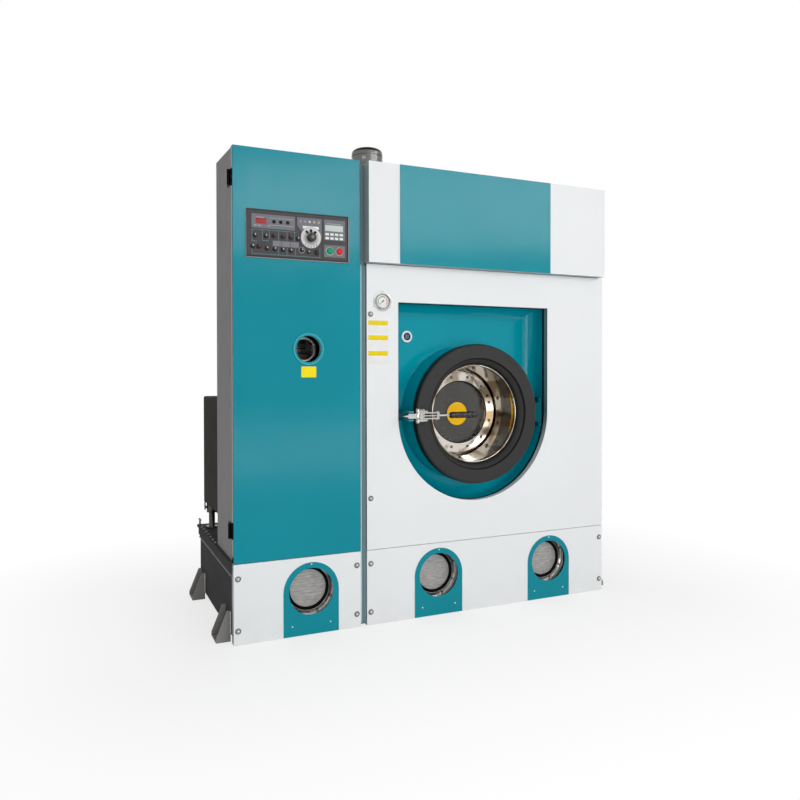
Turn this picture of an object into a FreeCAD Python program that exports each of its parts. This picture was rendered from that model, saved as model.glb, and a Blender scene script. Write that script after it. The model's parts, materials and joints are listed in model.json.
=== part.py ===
"""Closed-circuit dry-cleaning machine: solvent tank base, control column and drum cabinet.

Frame: +Z up, +X to the operator's right, the operator stands at -Y. The origin lies on the
floor under the middle of the machine. Lengths are millimetres.
"""
import FreeCAD, Part
import os
import re
import Sketcher
from FreeCAD import Rotation, Vector

# Driving dimensions, one cell of the sheet each
DRIVING = {
    # Layout of the front
    "column_width": 521,
    "column_gap": 28,
    "strip_clear": 2,
    "strip_setback": 10,
    "strip_rise": 8,
    "strip_tie": 20,
    "cabinet_width": 1215,
    "front_offset": 343.75,
    "kick_height": 309,
    "front_panel_height": 1174,
    "fascia_height": 408,
    "column_door_height": 1591,
    "panel_seam": 2,
    "panel_fold": 30,
    "sheet": 2,
    "trim": 2,
    "bolt_cap_radius": 9,
    "bolt_inset": 17,
    "kick_bolt_rise": 55,
    "panel_bolt_low": 213,
    "panel_bolt_high": 969,
    # Running gaps
    "gap": 0.3,
    "pin_fit": 0.05,
    "overcut": 1,
    # Solvent tank
    "tank_clearance": 30,
    "tank_depth": 703,
    "tank_wall": 5,
    "tank_band": 34,
    "tank_band_proud": 8,
    "lid_thickness": 10,
    "lid_overhang": 14,
    "foot_reach": 57,
    "foot_width": 96,
    "foot_height": 120,
    "foot_plate": 8,
    "foot_gusset": 6,
    "foot_nose": 14,
    "foot_inset": 24,
    "anchor_diameter": 18,
    "anchor_reach": 32,
    # Tank sight windows
    "sight_pitch": 572,
    "sight_rise": 173,
    "sight_hole_radius": 92,
    "sight_plate_border": 23,
    "sight_ring_radius": 106,
    "sight_ring_wall": 4,
    "sight_ring_flange": 6,
    "sight_ring_stand": 4,
    "sight_ring_length": 34,
    "sight_seat": 14,
    "sight_seat_setback": 11,
    "sight_lip": 6,
    "sight_lip_depth": 4,
    "sight_glass_thickness": 10,
    # Control column
    "column_depth": 310,
    "column_lip": 18,
    "column_top_drop": 4,
    "column_roof_rise": 17,
    "seal_thickness": 2,
    "seal_width": 16,
    "hinge_barrel_radius": 7,
    "hinge_pin_radius": 3,
    "hinge_leaf": 3,
    "hinge_height": 58,
    "hinge_low_rise": 96,
    "hinge_high_rise": 1445,
    "fixed_leaf_width": 46,
    "door_leaf_width": 24,
    "still_radius": 100,
    "still_length": 600,
    "still_dish": 35,
    "still_wall": 4,
    "still_rise": 823,
    "still_standoff": 20,
    "still_nozzle_radius": 50,
    "still_nozzle_length": 26,
    "column_sight_x": 300,
    "column_sight_rise": 823,
    "column_sight_radius": 52,
    "column_sight_border": 10,
    "column_sight_sleeve": 4,
    # Control panel on the column door
    "control_x": 50,
    "control_rise": 1170,
    "control_width": 420,
    "control_height": 186,
    "control_plate": 4,
    "control_border": 15,
    "control_case_depth": 55,
    "module_proud": 2,
    "module_margin": 22,
    "module_right_margin": 17,
    "module_top_margin": 19,
    "timer_module_width": 172,
    "timer_module_height": 54,
    "lamp_module_width": 101,
    "lamp_module_height": 32,
    "lamp_slant_width": 20,
    "lamp_slant_height": 25,
    "key_module_width": 89,
    "key_module_height": 81,
    "push_module_height": 48,
    "module_spacing": 9,
    "key_module_gap": 19,
    "dial_radius": 42,
    "dial_thickness": 4,
    "dial_x": 259,
    "dial_rise": 90,
    "knob_radius": 16,
    "knob_length": 20,
    "knob_shaft_radius": 5,
    "knob_edge": 2,
    "knob_mark_half": 2,
    "knob_mark_proud": 3,
    "knob_mark_bite": 1,
    "push_radius": 12,
    "push_collar": 3,
    "push_collar_proud": 4,
    "push_proud": 6,
    "push_depth": 16,
    "push_edge": 2,
    "push_travel": 4,
    "push_pitch": 40,
    "push_offset": 24,
    # Drum cabinet
    "cabinet_depth": 700,
    "cabinet_top_drop": 6,
    "bulkhead": 8,
    "bulkhead_margin": 12,
    "fascia_width": 1200,
    "fascia_lap": 6,
    "fascia_proud": 40,
    "insert_x": 138,
    "insert_width": 752,
    "louvre_length": 300,
    "louvre_height": 12,
    "louvre_pitch": 40,
    "louvre_rise": 80,
    "louvre_count": 8,
    # Loading door and its recess
    "door_x_in_cabinet": 520,
    "door_rise": 858,
    "recess_half_width": 378,
    "recess_top_rise": 473,
    "recess_depth": 134,
    "recess_corner": 55,
    "recess_sheet": 3,
    "recess_flange": 22,
    "collar_radius": 300,
    "collar_wall": 3,
    "collar_front": 22,
    "gasket_width": 12,
    "door_ring_radius": 304,
    "door_ring_front": 23,
    "door_ring_rear": 17,
    "door_ring_chamfer": 8,
    "door_ring_face": 54,
    "door_ring_step": 9,
    "door_ring_ledge": 6,
    "door_ring_rim": 18,
    "bowl_reveal": 1,
    "bowl_radius": 212,
    "bowl_seat": 13,
    "bowl_depth": 157,
    "bowl_taper": 24,
    "bowl_wall": 2.5,
    "window_radius": 141,
    "window_seat": 9,
    "window_lap": 10,
    "window_thickness": 12,
    "window_ring_width": 42,
    "window_ring_thickness": 12,
    # Loading door hinge
    "door_hinge_reach": 331,
    "door_hinge_setback": 0,
    "door_barrel_radius": 10,
    "door_pin_radius": 6,
    "door_barrel_half": 44,
    "door_lug_height": 22,
    "door_lug_depth": 62,
    "door_lug_setback": 4,
    "door_arm_half_depth": 10,
    "door_arm_bite": 14,
    "collar_bite": 24,
    # Door clamp
    "clamp_reach": 309,
    "clamp_standoff": 21,
    "clamp_base_thickness": 6,
    "clamp_base_length": 24,
    "clamp_base_inset": 3,
    "clamp_base_half_height": 26,
    "clamp_ear": 6,
    "clamp_ear_half_gap": 16,
    "clamp_ear_end": 12,
    "clamp_pin_radius": 5,
    "clamp_nut_radius": 8,
    "clamp_nut_height": 8,
    "clamp_nut": 5,
    "clamp_hub_radius": 11,
    "clamp_nose": 45,
    "clamp_nose_half_width": 6,
    "clamp_nose_half_height": 10,
    "clamp_tip": 27,
    "clamp_tip_half_height": 5,
    "clamp_root": 20,
    "clamp_root_half_depth": 8,
    "clamp_arm_length": 90,
    "clamp_arm": 6,
    "clamp_bar_half": 2.5,
    "clamp_arm_half_depth": 4,
    "clamp_arm_bite": 2,
    "clamp_block": 12,
    "clamp_block_half_depth": 6,
    "clamp_rod_room": 4,
    "clamp_rod_bite": 1,
    "clamp_rod_radius": 5,
    "clamp_rod_length": 171,
    "grip_length": 128,
    "grip_body": 54,
    "grip_radius": 13.5,
    "grip_waist": 11.5,
    "grip_ribs": 3,
    "grip_rib_slope": 3,
    "keeper_cheek": 8,
    "keeper_slot_half": 13,
    "keeper_width": 22,
    "keeper_clear": 26,
    "keeper_front": 50,
    "keeper_base_depth": 45,
    "keeper_reach": 16,
    # Interlock button in the recess
    "interlock_x": 276,
    "interlock_rise": 338,
    "interlock_radius": 17,
    "interlock_border": 9,
    "interlock_proud": 12,
    "interlock_travel": 5,
    "interlock_depth": 18,
    "interlock_chamfer": 4,
    "interlock_drop": 2,
    "interlock_edge": 2,
    "interlock_room": 4,
    # Pressure gauge
    "gauge_x": 70,
    "gauge_drop": 152,
    "gauge_flange_radius": 36,
    "gauge_lug_radius": 7,
    "gauge_lug_reach": 37,
    "gauge_lugs": 3,
    "gauge_flange": 4,
    "gauge_radius": 30,
    "gauge_bezel": 2,
    "gauge_bezel_proud": 10,
    "gauge_dial_depth": 7,
    "gauge_body_depth": 24,
    "gauge_lens": 1.5,
    "gauge_lens_drop": 1,
    "needle_length": 21,
    "needle_width": 2.4,
    "needle_thickness": 0.8,
    "needle_pin_radius": 1,
    "needle_hub_radius": 3,
    "needle_root": 0.6,
    "needle_tail": 8,
    "needle_tail_half": 2.2,
    # Tub, drum and drive
    "tub_clearance": 22,
    "tub_wall": 3,
    "tub_neck_wall": 8,
    "tub_depth": 463,
    "tub_saddle_pitch": 400,
    "tub_saddle_width": 60,
    "tub_saddle_depth": 380,
    "drum_radius": 390,
    "drum_wall": 3,
    "drum_mouth_radius": 290,
    "drum_front_gap": 12,
    "drum_rear_gap": 27,
    "drum_hole_radius": 12,
    "drum_hole_columns": 16,
    "drum_hole_rows": 3,
    "lifter_half_base": 40,
    "lifter_half_top": 12,
    "lifter_height": 75,
    "lifter_bite": 0.6,
    "lifters": 3,
    "shaft_radius": 30,
    "shaft_flange_radius": 95,
    "shaft_flange": 10,
    "shaft_end": 8,
    "shaft_step": 4,
    "bearing_radius": 48,
    "bearing_width": 14,
    "bearing_shoulder": 6,
    "housing_radius": 78,
    "housing_length": 50,
    "housing_flange_radius": 140,
    "housing_flange": 12,
    "pulley_radius": 212,
    "pulley_flange": 10,
    "pulley_rim": 16,
    "pulley_width": 32,
    "pulley_cheek": 3,
    "pulley_web": 10,
    "pulley_hub_radius": 60,
    "pulley_hole_radius": 45,
    "pulley_holes": 6,
    "pulley_gap": 8,
    "belt_thickness": 8,
    "motor_pulley_radius": 55,
    "motor_x": 470,
    "motor_rise": 115,
    "motor_radius": 95,
    "motor_length": 240,
    "motor_bell": 30,
    "motor_shaft_radius": 14,
    "motor_foot_width": 220,
    "motor_foot_depth": 170,
    "motor_foot": 12,
    "motor_rail_reach": 66,
    "motor_box": 80,
    "motor_box_proud": 27,
    # Air fan on top
    "fan_x": 149,
    "fan_setback": 350,
    "fan_radius": 140,
    "fan_height": 150,
    "fan_wall": 3,
    "fan_inlet_radius": 80,
    "fan_outlet_length": 90,
    "fan_outlet_width": 130,
    "fan_outlet_height": 90,
    "impeller_radius": 115,
    "impeller_height": 80,
    "impeller_plate": 4,
    "impeller_blade": 4,
    "impeller_blades": 8,
    "impeller_blade_inset": 1,
    "impeller_eye": 60,
    "impeller_hub_radius": 18,
    "impeller_boss_radius": 24,
    "impeller_boss": 12,
    "fan_shaft_radius": 12,
    "fan_shaft_length": 60,
    "fan_neck_radius": 24,
    "fan_base_radius": 95,
    "fan_base": 8,
    "fan_motor_radius": 69,
    "fan_motor_height": 93,
    "cowl_radius": 72,
    "cowl_height": 76,
    "cowl_round": 22,
    "cowl_groove": 3,
    "cowl_groove_rise": 40,
    # Rear box, pump and drain valve behind the column
    "rear_box_width": 440,
    "rear_box_depth": 325,
    "rear_box_rise": 130,
    "rear_box_wall": 3,
    "rear_box_height": 483,
    "rear_box_round": 8,
    "pump_x": 40,
    "pump_setback": 90,
    "pump_radius": 55,
    "pump_volute_length": 50,
    "pump_motor_radius": 48,
    "pump_motor_length": 180,
    "pump_axis_rise": 64,
    "pump_foot": 10,
    "pump_foot_half": 50,
    "pump_rail": 20,
    "pump_rail_half": 25,
    "pump_rail_inset": 18,
    "pump_port_radius": 18,
    "valve_x": 40,
    "valve_setback": 345,
    "valve_pipe_radius": 14,
    "valve_flange_radius": 28,
    "valve_flange": 8,
    "valve_rise": 96,
    "valve_ball_radius": 24,
    "valve_stem_radius": 6,
    "valve_stem_length": 34,
    "valve_elbow_rise": 190,
    "handle_length": 85,
    "handle_width": 16,
    "handle_thickness": 4,
    "handle_hub_radius": 12,
}

# Places and sizes worked out from the driving dimensions
DERIVED = {
    "machine_width": "column_width + column_gap + cabinet_width",
    "column_x": "-machine_width / 2",
    "column_end_x": "column_x + column_width",
    "cabinet_x": "column_end_x + column_gap",
    "cabinet_end_x": "machine_width / 2",
    "front_y": "-front_offset",
    "frame_y": "front_y + panel_fold",
    "tank_end_y": "frame_y + tank_depth",
    "lid_top": "kick_height + lid_thickness",
    "panel_top": "kick_height + front_panel_height",
    "fascia_top": "panel_top + fascia_height",
    "column_top": "kick_height + column_door_height",
    "column_end_y": "front_y + column_depth",
    "column_door_depth": "panel_fold - seal_thickness - gap",
    "column_hinge_x": "column_x - hinge_barrel_radius",
    "column_hinge_y": "frame_y - gap",
    "column_sight_z": "kick_height + column_sight_rise",
    "still_x": "column_x + column_sight_x",
    "still_y": "column_end_y - sheet - still_standoff - still_radius",
    "still_z": "kick_height + still_rise",
    "control_low_x": "column_x + control_x",
    "control_low_z": "kick_height + control_rise",
    "control_top_z": "control_low_z + control_height",
    "control_end_x": "control_low_x + control_width",
    "control_face_y": "front_y - control_plate",
    "module_face_y": "control_face_y - module_proud",
    "key_module_x": "control_end_x - module_right_margin - key_module_width",
    "module_top_z": "control_top_z - module_top_margin",
    "lamp_module_x": "control_low_x + module_margin + timer_module_width + module_spacing",
    "push_module_top": "module_top_z - key_module_height - key_module_gap",
    "push_z": "push_module_top - push_module_height / 2",
    "start_x": "key_module_x + push_offset",
    "stop_x": "start_x + push_pitch",
    "selector_x": "control_low_x + dial_x",
    "selector_z": "control_low_z + dial_rise",
    "cabinet_end_y": "front_y + cabinet_depth",
    "cabinet_top": "fascia_top - cabinet_top_drop",
    "bulkhead_end_y": "frame_y + bulkhead",
    "fascia_x": "cabinet_x - fascia_lap",
    "fascia_y": "front_y - fascia_proud",
    "strip_x": "column_end_x + strip_clear",
    "strip_end_x": "fascia_x - strip_clear",
    "strip_y": "front_y + strip_setback",
    "strip_tie_y": "frame_y + strip_tie",
    "door_x": "cabinet_x + door_x_in_cabinet",
    "recess_end_y": "front_y + recess_depth",
    "tub_radius": "drum_radius + tub_clearance",
    "tub_y": "recess_end_y + recess_sheet",
    "tub_neck": "interlock_depth - interlock_proud + interlock_travel + interlock_room - recess_sheet",
    "tub_face_y": "tub_y + tub_neck",
    "tub_end_y": "tub_y + tub_depth",
    "drum_y": "tub_face_y + drum_front_gap",
    "drum_end_y": "tub_end_y - drum_rear_gap",
    "housing_end_y": "tub_end_y + housing_length",
    "pulley_y": "housing_end_y + pulley_gap",
    "pulley_end_y": "pulley_y + pulley_width",
    "motor_axis_x": "door_x + motor_x",
    "motor_axis_z": "lid_top + motor_rise",
    "motor_end_y": "pulley_y - pulley_gap",
    "belt_span": "sqrt((motor_axis_x - door_x)^2 + (motor_axis_z - door_rise)^2)",
    "belt_lean": "asin((pulley_radius - motor_pulley_radius) / belt_span)",
    "bowl_end": "bowl_seat + bowl_depth",
    "bowl_end_radius": "bowl_radius - bowl_taper",
    "bowl_hole_radius": "window_radius + window_seat",
    "glass_radius": "bowl_hole_radius + window_lap",
    "glass_front": "bowl_end - window_thickness",
    "ring_step_radius": "door_ring_radius - door_ring_chamfer - door_ring_face",
    "hinge_x": "door_x + door_hinge_reach",
    "hinge_y": "front_y + door_hinge_setback",
    "clamp_x": "door_x - clamp_reach",
    "clamp_y": "front_y - door_ring_front - clamp_standoff",
    "clamp_base_y": "front_y - door_ring_front",
    "clamp_base_x": "door_x - door_ring_radius + door_ring_chamfer + clamp_base_inset",
    "arm_gap": "clamp_rod_radius + clamp_rod_room",
    "arm_start": "clamp_hub_radius - clamp_arm_bite",
    "arm_end": "arm_start + clamp_arm_length",
    "rod_end": "arm_end + clamp_rod_length",
    "keeper_x": "door_x - door_ring_radius - keeper_clear",
    "keeper_end_y": "recess_end_y - recess_corner + keeper_reach",
    "gauge_axis_x": "cabinet_x + gauge_x",
    "gauge_axis_z": "panel_top - gauge_drop",
    "dial_floor": "gauge_bezel_proud - gauge_dial_depth",
    "fan_axis_x": "cabinet_x + fan_x",
    "fan_axis_y": "front_y + fan_setback",
    "fan_ceiling": "cabinet_top - sheet",
    "fan_floor": "fan_ceiling - fan_height",
    "impeller_floor": "fan_floor + (fan_height - impeller_height) / 2",
    "rear_box_z": "lid_top + rear_box_rise",
    "pump_axis_x": "column_x + pump_x",
    "pump_axis_y": "column_end_y + pump_setback",
    "pump_axis_z": "lid_top + pump_axis_rise",
    "valve_axis_x": "column_x + valve_x",
    "valve_axis_y": "column_end_y + valve_setback",
    "valve_z": "lid_top + valve_rise",
    "valve_elbow_z": "lid_top + valve_elbow_rise",
    "stem_end_x": "valve_axis_x - valve_stem_length",
}

NAME = re.compile(r"[a-z][a-z_0-9]*")
ALONG = {
    "x": Rotation(Vector(0, 1, 0), 90),
    "y": Rotation(Vector(1, 0, 0), -90),
    "z": Rotation(),
}
ORIGIN = ("0", "0", "0")

doc = FreeCAD.newDocument("dry_cleaning_machine")
sheet = doc.addObject("Spreadsheet::Sheet", "dims")
nodes = []


def fill_sheet():
    """One row for each driving dimension: its name, its value and its alias."""
    for row, (name, size) in enumerate(DRIVING.items(), start=1):
        sheet.set("A%d" % row, name)
        sheet.set("B%d" % row, str(size))
        sheet.setAlias("B%d" % row, name)
    doc.recompute()


def formula(text):
    """Expression text with every size name turned into its sheet cell."""
    def swap(match):
        word = match.group(0)
        if word in DRIVING:
            return "dims." + word
        if word in DERIVED:
            return "(" + formula(DERIVED[word]) + ")"
        return word
    return NAME.sub(swap, str(text))


def value(text):
    """Number that a formula gives with the sheet as it stands."""
    return float(sheet.evalExpression(formula(text)))


def bind(obj, **sizes):
    for prop, text in sizes.items():
        obj.setExpression(prop, formula(text))
    return obj


def place(obj, at):
    for axis, text in zip("xyz", at):
        obj.setExpression(".Placement.Base." + axis, formula(text))
    return obj


def node(label, obj):
    """Names a finished sub-part and lists it for export."""
    obj.Label = label
    nodes.append(obj)
    return obj


# Primitives and booleans

def box(low, high):
    obj = doc.addObject("Part::Box", "box")
    length, width, height = ("(%s) - (%s)" % (b, a) for a, b in zip(low, high))
    bind(obj, Length=length, Width=width, Height=height)
    return place(obj, low)


def cylinder(radius, length, at, along="z"):
    obj = doc.addObject("Part::Cylinder", "cylinder")
    bind(obj, Radius=radius, Height=length)
    obj.Placement.Rotation = ALONG[along]
    return place(obj, at)


def dome(radius, at, turn):
    """Half a ball, flat side at the given place."""
    obj = doc.addObject("Part::Sphere", "dome")
    bind(obj, Radius=radius)
    obj.Angle1 = 0
    obj.Placement.Rotation = turn
    return place(obj, at)


def fuse(*shapes):
    obj = doc.addObject("Part::MultiFuse", "fuse")
    obj.Shapes = list(shapes)
    obj.Refine = True
    return obj


def cut(base, *tools):
    obj = doc.addObject("Part::Cut", "cut")
    obj.Base = base
    obj.Tool = tools[0] if len(tools) == 1 else fuse(*tools)
    obj.Refine = True
    return obj


def group(*shapes):
    """Separate solids of one kind in one node."""
    obj = doc.addObject("Part::Compound", "group")
    obj.Links = list(shapes)
    return obj


def tube(outer, inner, length, at, along="z"):
    return cut(cylinder(outer, length, at, along), cylinder(inner, length, at, along))


# Bodies made from sketches

def pin_point(sketch, geometry, point, kind, text, axis):
    """Binds one coordinate of a sketch point; zero puts the point on the axis."""
    if text == "0":
        sketch.addConstraint(Sketcher.Constraint("PointOnObject", geometry, point, axis))
        return
    number = sketch.addConstraint(Sketcher.Constraint(kind, -1, 1, geometry, point, value(text)))
    sketch.setExpression("Constraints[%d]" % number, formula(text))


def add_outline(sketch, outline):
    """Closed outline: (x, y) ends a line, (x, y, centre_x, centre_y) an anticlockwise arc."""
    first = sketch.GeometryCount
    points = [Vector(value(p[0]), value(p[1]), 0) for p in outline]
    count = len(points)
    arcs = []
    for index in range(count):
        ahead = outline[(index + 1) % count]
        start, end = points[index], points[(index + 1) % count]
        if len(ahead) == 2:
            sketch.addGeometry(Part.LineSegment(start, end), False)
            continue
        centre = Vector(value(ahead[2]), value(ahead[3]), 0)
        circle = Part.Circle(centre, Vector(0, 0, 1), (start - centre).Length)
        low, high = circle.parameter(start), circle.parameter(end)
        sketch.addGeometry(Part.ArcOfCircle(circle, low, high), False)
        arcs.append((first + index, outline[index], ahead))
    for index in range(count):
        following = first + (index + 1) % count
        sketch.addConstraint(Sketcher.Constraint("Coincident", first + index, 2, following, 1))
    for index, point in enumerate(outline):
        pin_point(sketch, first + index, 1, "DistanceX", point[0], -2)
        pin_point(sketch, first + index, 1, "DistanceY", point[1], -1)
    for geometry, start, ahead in arcs:
        flat = abs(value(start[0]) - value(ahead[0])) > abs(value(start[1]) - value(ahead[1]))
        kind, text, axis = ("DistanceY", ahead[3], -1) if flat else ("DistanceX", ahead[2], -2)
        pin_point(sketch, geometry, 3, kind, text, axis)


def add_circle(sketch, x, y, radius):
    centre = Vector(value(x), value(y), 0)
    index = sketch.addGeometry(Part.Circle(centre, Vector(0, 0, 1), value(radius)), False)
    pin_point(sketch, index, 3, "DistanceX", x, -2)
    pin_point(sketch, index, 3, "DistanceY", y, -1)
    number = sketch.addConstraint(Sketcher.Constraint("Radius", index, value(radius)))
    sketch.setExpression("Constraints[%d]" % number, formula(radius))


def rectangle(low_x, low_y, high_x, high_y):
    return [(low_x, low_y), (high_x, low_y), (high_x, high_y), (low_x, high_y)]


class Piece:
    """A PartDesign body; circles are (x, y, radius) tuples, other loops are outlines."""

    def __init__(self, label, at=ORIGIN):
        self.body = doc.addObject("PartDesign::Body", label)
        self.label = label
        place(self.body, at)

    def sketch(self, plane, loops, shift="0"):
        sketch = self.body.newObject("Sketcher::SketchObject", "sketch")
        support = [f for f in self.body.Origin.OriginFeatures if f.Role == plane][0]
        sketch.AttachmentSupport = [(support, "")]
        sketch.MapMode = "FlatFace"
        if shift != "0":
            sketch.setExpression(".AttachmentOffset.Base.z", formula(shift))
        for loop in loops:
            if isinstance(loop, tuple):
                add_circle(sketch, *loop)
            else:
                add_outline(sketch, loop)
        return sketch

    def pad(self, plane, loops, length, shift="0", back=False):
        feature = self.body.newObject("PartDesign::Pad", "pad")
        feature.Profile = self.sketch(plane, loops, shift)
        feature.Reversed = back
        return bind(feature, Length=length)

    def pocket(self, plane, loops, length, shift="0", back=False):
        feature = self.body.newObject("PartDesign::Pocket", "pocket")
        feature.Profile = self.sketch(plane, loops, shift)
        feature.Reversed = back
        return bind(feature, Length=length)

    def drill(self, plane, loops):
        """A pocket through everything, both ways from its plane."""
        feature = self.body.newObject("PartDesign::Pocket", "drill")
        feature.Profile = self.sketch(plane, loops)
        feature.Type = "ThroughAll"
        feature.Midplane = True
        return feature

    def revolve(self, plane, loops):
        feature = self.body.newObject("PartDesign::Revolution", "revolution")
        drawing = self.sketch(plane, loops)
        feature.Profile = drawing
        feature.ReferenceAxis = (drawing, ["V_Axis"])
        feature.Angle = 360
        return feature

    def polar(self, feature, axis, count):
        pattern = self.body.newObject("PartDesign::PolarPattern", "polar")
        pattern.Originals = [feature]
        line = [f for f in self.body.Origin.OriginFeatures if f.Role == axis][0]
        pattern.Axis = (line, [""])
        pattern.Angle = 360
        bind(pattern, Occurrences=count)
        self.body.Tip = pattern
        return pattern

    def row(self, feature, axis, length, count):
        pattern = self.body.newObject("PartDesign::LinearPattern", "row")
        pattern.Originals = [feature]
        line = [f for f in self.body.Origin.OriginFeatures if f.Role == axis][0]
        pattern.Direction = (line, [""])
        bind(pattern, Length=length, Occurrences=count)
        self.body.Tip = pattern
        return pattern

    def round_edges(self, radius, wanted):
        """Fillets the edges of the last feature that the test picks."""
        doc.recompute()
        base = self.body.Tip
        names = ["Edge%d" % n for n, e in enumerate(base.Shape.Edges, start=1) if wanted(e)]
        feature = self.body.newObject("PartDesign::Fillet", "fillet")
        feature.Base = (base, names)
        return bind(feature, Radius=radius)

    def shell(self, thickness, wanted):
        """Hollows the body, open at the faces that the test picks."""
        doc.recompute()
        base = self.body.Tip
        names = ["Face%d" % n for n, f in enumerate(base.Shape.Faces, start=1) if wanted(f)]
        feature = self.body.newObject("PartDesign::Thickness", "shell")
        feature.Base = (base, names)
        feature.Reversed = True
        return bind(feature, Value=thickness)

    def done(self):
        return node(self.label, self.body)


def lies_at_y(shape, level):
    """True for an edge or face that lies in the plane y = level."""
    box_of = shape.BoundBox
    return abs(box_of.YMin - level) < 1e-4 and abs(box_of.YMax - level) < 1e-4


def folded_panel(piece, width, low, high, depth):
    """Front sheet with its four edges folded back."""
    piece.pad("XZ_Plane", [rectangle("0", low, width, high)], "sheet", back=True)
    inner = rectangle("sheet", "%s + sheet" % low, "%s - sheet" % width, "%s - sheet" % high)
    piece.pad("XZ_Plane", [rectangle("0", low, width, high), inner], depth, back=True)


def recess_outline(grow):
    """U of the loading recess about the door centre, larger all round by grow."""
    side = "recess_half_width + %s" % grow
    top = "recess_top_rise + %s" % grow
    return [("-(%s)" % side, "0"), (side, "0", "0", "0"), (side, top), ("-(%s)" % side, top)]


# Tank base

def sight_x(index):
    return "sight_pitch * (%d)" % index


def make_base_tank():
    shell = box(("column_x", "frame_y", "tank_clearance"), ("cabinet_end_x", "tank_end_y", "kick_height"))
    band = box(
        ("column_x - tank_band_proud", "frame_y", "kick_height - tank_band"),
        ("cabinet_end_x + tank_band_proud", "tank_end_y + tank_band_proud", "kick_height"),
    )
    walls = (
        ("column_x + tank_wall", "-sight_pitch / 2 - tank_wall / 2"),
        ("-sight_pitch / 2 + tank_wall / 2", "sight_pitch / 2 - tank_wall / 2"),
        ("sight_pitch / 2 + tank_wall / 2", "cabinet_end_x - tank_wall"),
    )
    cuts = []
    for index, (low, high) in zip((-1, 0, 1), walls):
        cuts.append(box(
            (low, "frame_y + tank_wall", "tank_clearance + tank_wall"),
            (high, "tank_end_y - tank_wall", "kick_height + overcut"),
        ))
        cuts.append(cylinder(
            "sight_ring_radius + gap", "tank_wall + 2 * overcut",
            (sight_x(index), "frame_y - overcut", "sight_rise"), "y",
        ))
    node("base_tank", cut(fuse(shell, band), *cuts))


def make_foot(x, y, turn):
    """Welded foot: base plate with its anchor hole between two gussets."""
    piece = Piece("foot", (x, y, "0"))
    piece.body.Placement.Rotation = Rotation(Vector(0, 0, 1), turn)
    half = "foot_width / 2"
    piece.pad("XY_Plane", [rectangle("0", "-" + half, "foot_reach", half)], "foot_plate")
    gusset = [
        ("0", "foot_plate"), ("foot_reach", "foot_plate"), ("foot_reach", "foot_plate * 2"),
        ("foot_nose", "foot_height"), ("0", "foot_height"),
    ]
    piece.pad("XZ_Plane", [gusset], "foot_gusset", shift=half, back=True)
    piece.pad("XZ_Plane", [gusset], "foot_gusset", shift="foot_gusset - " + half, back=True)
    piece.drill("XY_Plane", [("anchor_reach", "0", "anchor_diameter / 2")])
    return piece.body


def make_tank_feet():
    front = "frame_y + foot_inset + foot_width / 2"
    rear = "tank_end_y - foot_inset - foot_width / 2"
    feet = []
    for y in (front, rear):
        feet.append(make_foot("column_x", y, 180))
        feet.append(make_foot("cabinet_end_x", y, 0))
    node("tank_feet", group(*feet))


def make_tank_lid():
    node("tank_lid", box(
        ("column_x - lid_overhang", "frame_y", "kick_height"),
        ("cabinet_end_x + lid_overhang", "tank_end_y + lid_overhang", "lid_top"),
    ))


def make_kick_panel(label, x, width, sights):
    piece = Piece(label, (x, "front_y", "0"))
    folded_panel(piece, width, "panel_seam", "kick_height", "panel_fold")
    holes = [("%s - (%s)" % (sight_x(i), x), "sight_rise", "sight_hole_radius + trim") for i in sights]
    piece.drill("XZ_Plane", holes)
    piece.done()


def make_sight_windows():
    plates, rings, glasses = [], [], []
    border = "sight_hole_radius + sight_plate_border"
    for index in (-1, 0, 1):
        plate = Piece("sight_plate", (sight_x(index), "front_y", "sight_rise"))
        arch = [
            ("-(%s)" % border, "panel_seam - sight_rise"), (border, "panel_seam - sight_rise"),
            (border, "0"), ("-(%s)" % border, "0", "0", "0"),
        ]
        plate.pad("XZ_Plane", [arch, ("0", "0", "sight_hole_radius")], "trim")
        plates.append(plate.body)
        ring = Piece("sight_ring", (sight_x(index), "frame_y", "sight_rise"))
        bore = "sight_ring_radius - sight_ring_wall"
        seat = bore + " - sight_seat"
        ring.revolve("XY_Plane", [[
            (bore, "-sight_ring_stand"), ("sight_ring_radius + sight_ring_flange", "-sight_ring_stand"),
            ("sight_ring_radius + sight_ring_flange", "0"), ("sight_ring_radius", "0"),
            ("sight_ring_radius", "sight_ring_length"), (seat + " - sight_lip", "sight_ring_length"),
            (seat + " - sight_lip", "sight_ring_length - sight_lip_depth"),
            (seat, "sight_ring_length - sight_lip_depth"), (seat, "sight_seat_setback"),
            (bore, "sight_seat_setback"),
        ]])
        rings.append(ring.body)
        glass_y = "frame_y + sight_ring_length - sight_lip_depth - sight_glass_thickness"
        glasses.append(cylinder(
            seat + " - gap", "sight_glass_thickness", (sight_x(index), glass_y, "sight_rise"), "y",
        ))
    node("sight_plates", group(*plates))
    node("sight_rings", group(*rings))
    node("sight_glasses", group(*glasses))


def make_panel_bolts():
    """Domed cap bolts of the kick panels and of the white front panel."""
    low, high = "kick_bolt_rise", "kick_height - kick_bolt_rise"
    places = [
        (x, z)
        for x in ("column_x + bolt_inset", "column_end_x - bolt_inset",
                  "cabinet_x + bolt_inset", "cabinet_end_x - bolt_inset")
        for z in (low, high)
    ]
    for rise in ("panel_bolt_low", "panel_bolt_high"):
        places.append(("cabinet_x + bolt_inset", "kick_height + " + rise))
    turn = Rotation(Vector(1, 0, 0), 90)
    node("panel_bolts", group(*[dome("bolt_cap_radius", (x, "front_y", z), turn) for x, z in places]))


# Control column

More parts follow.
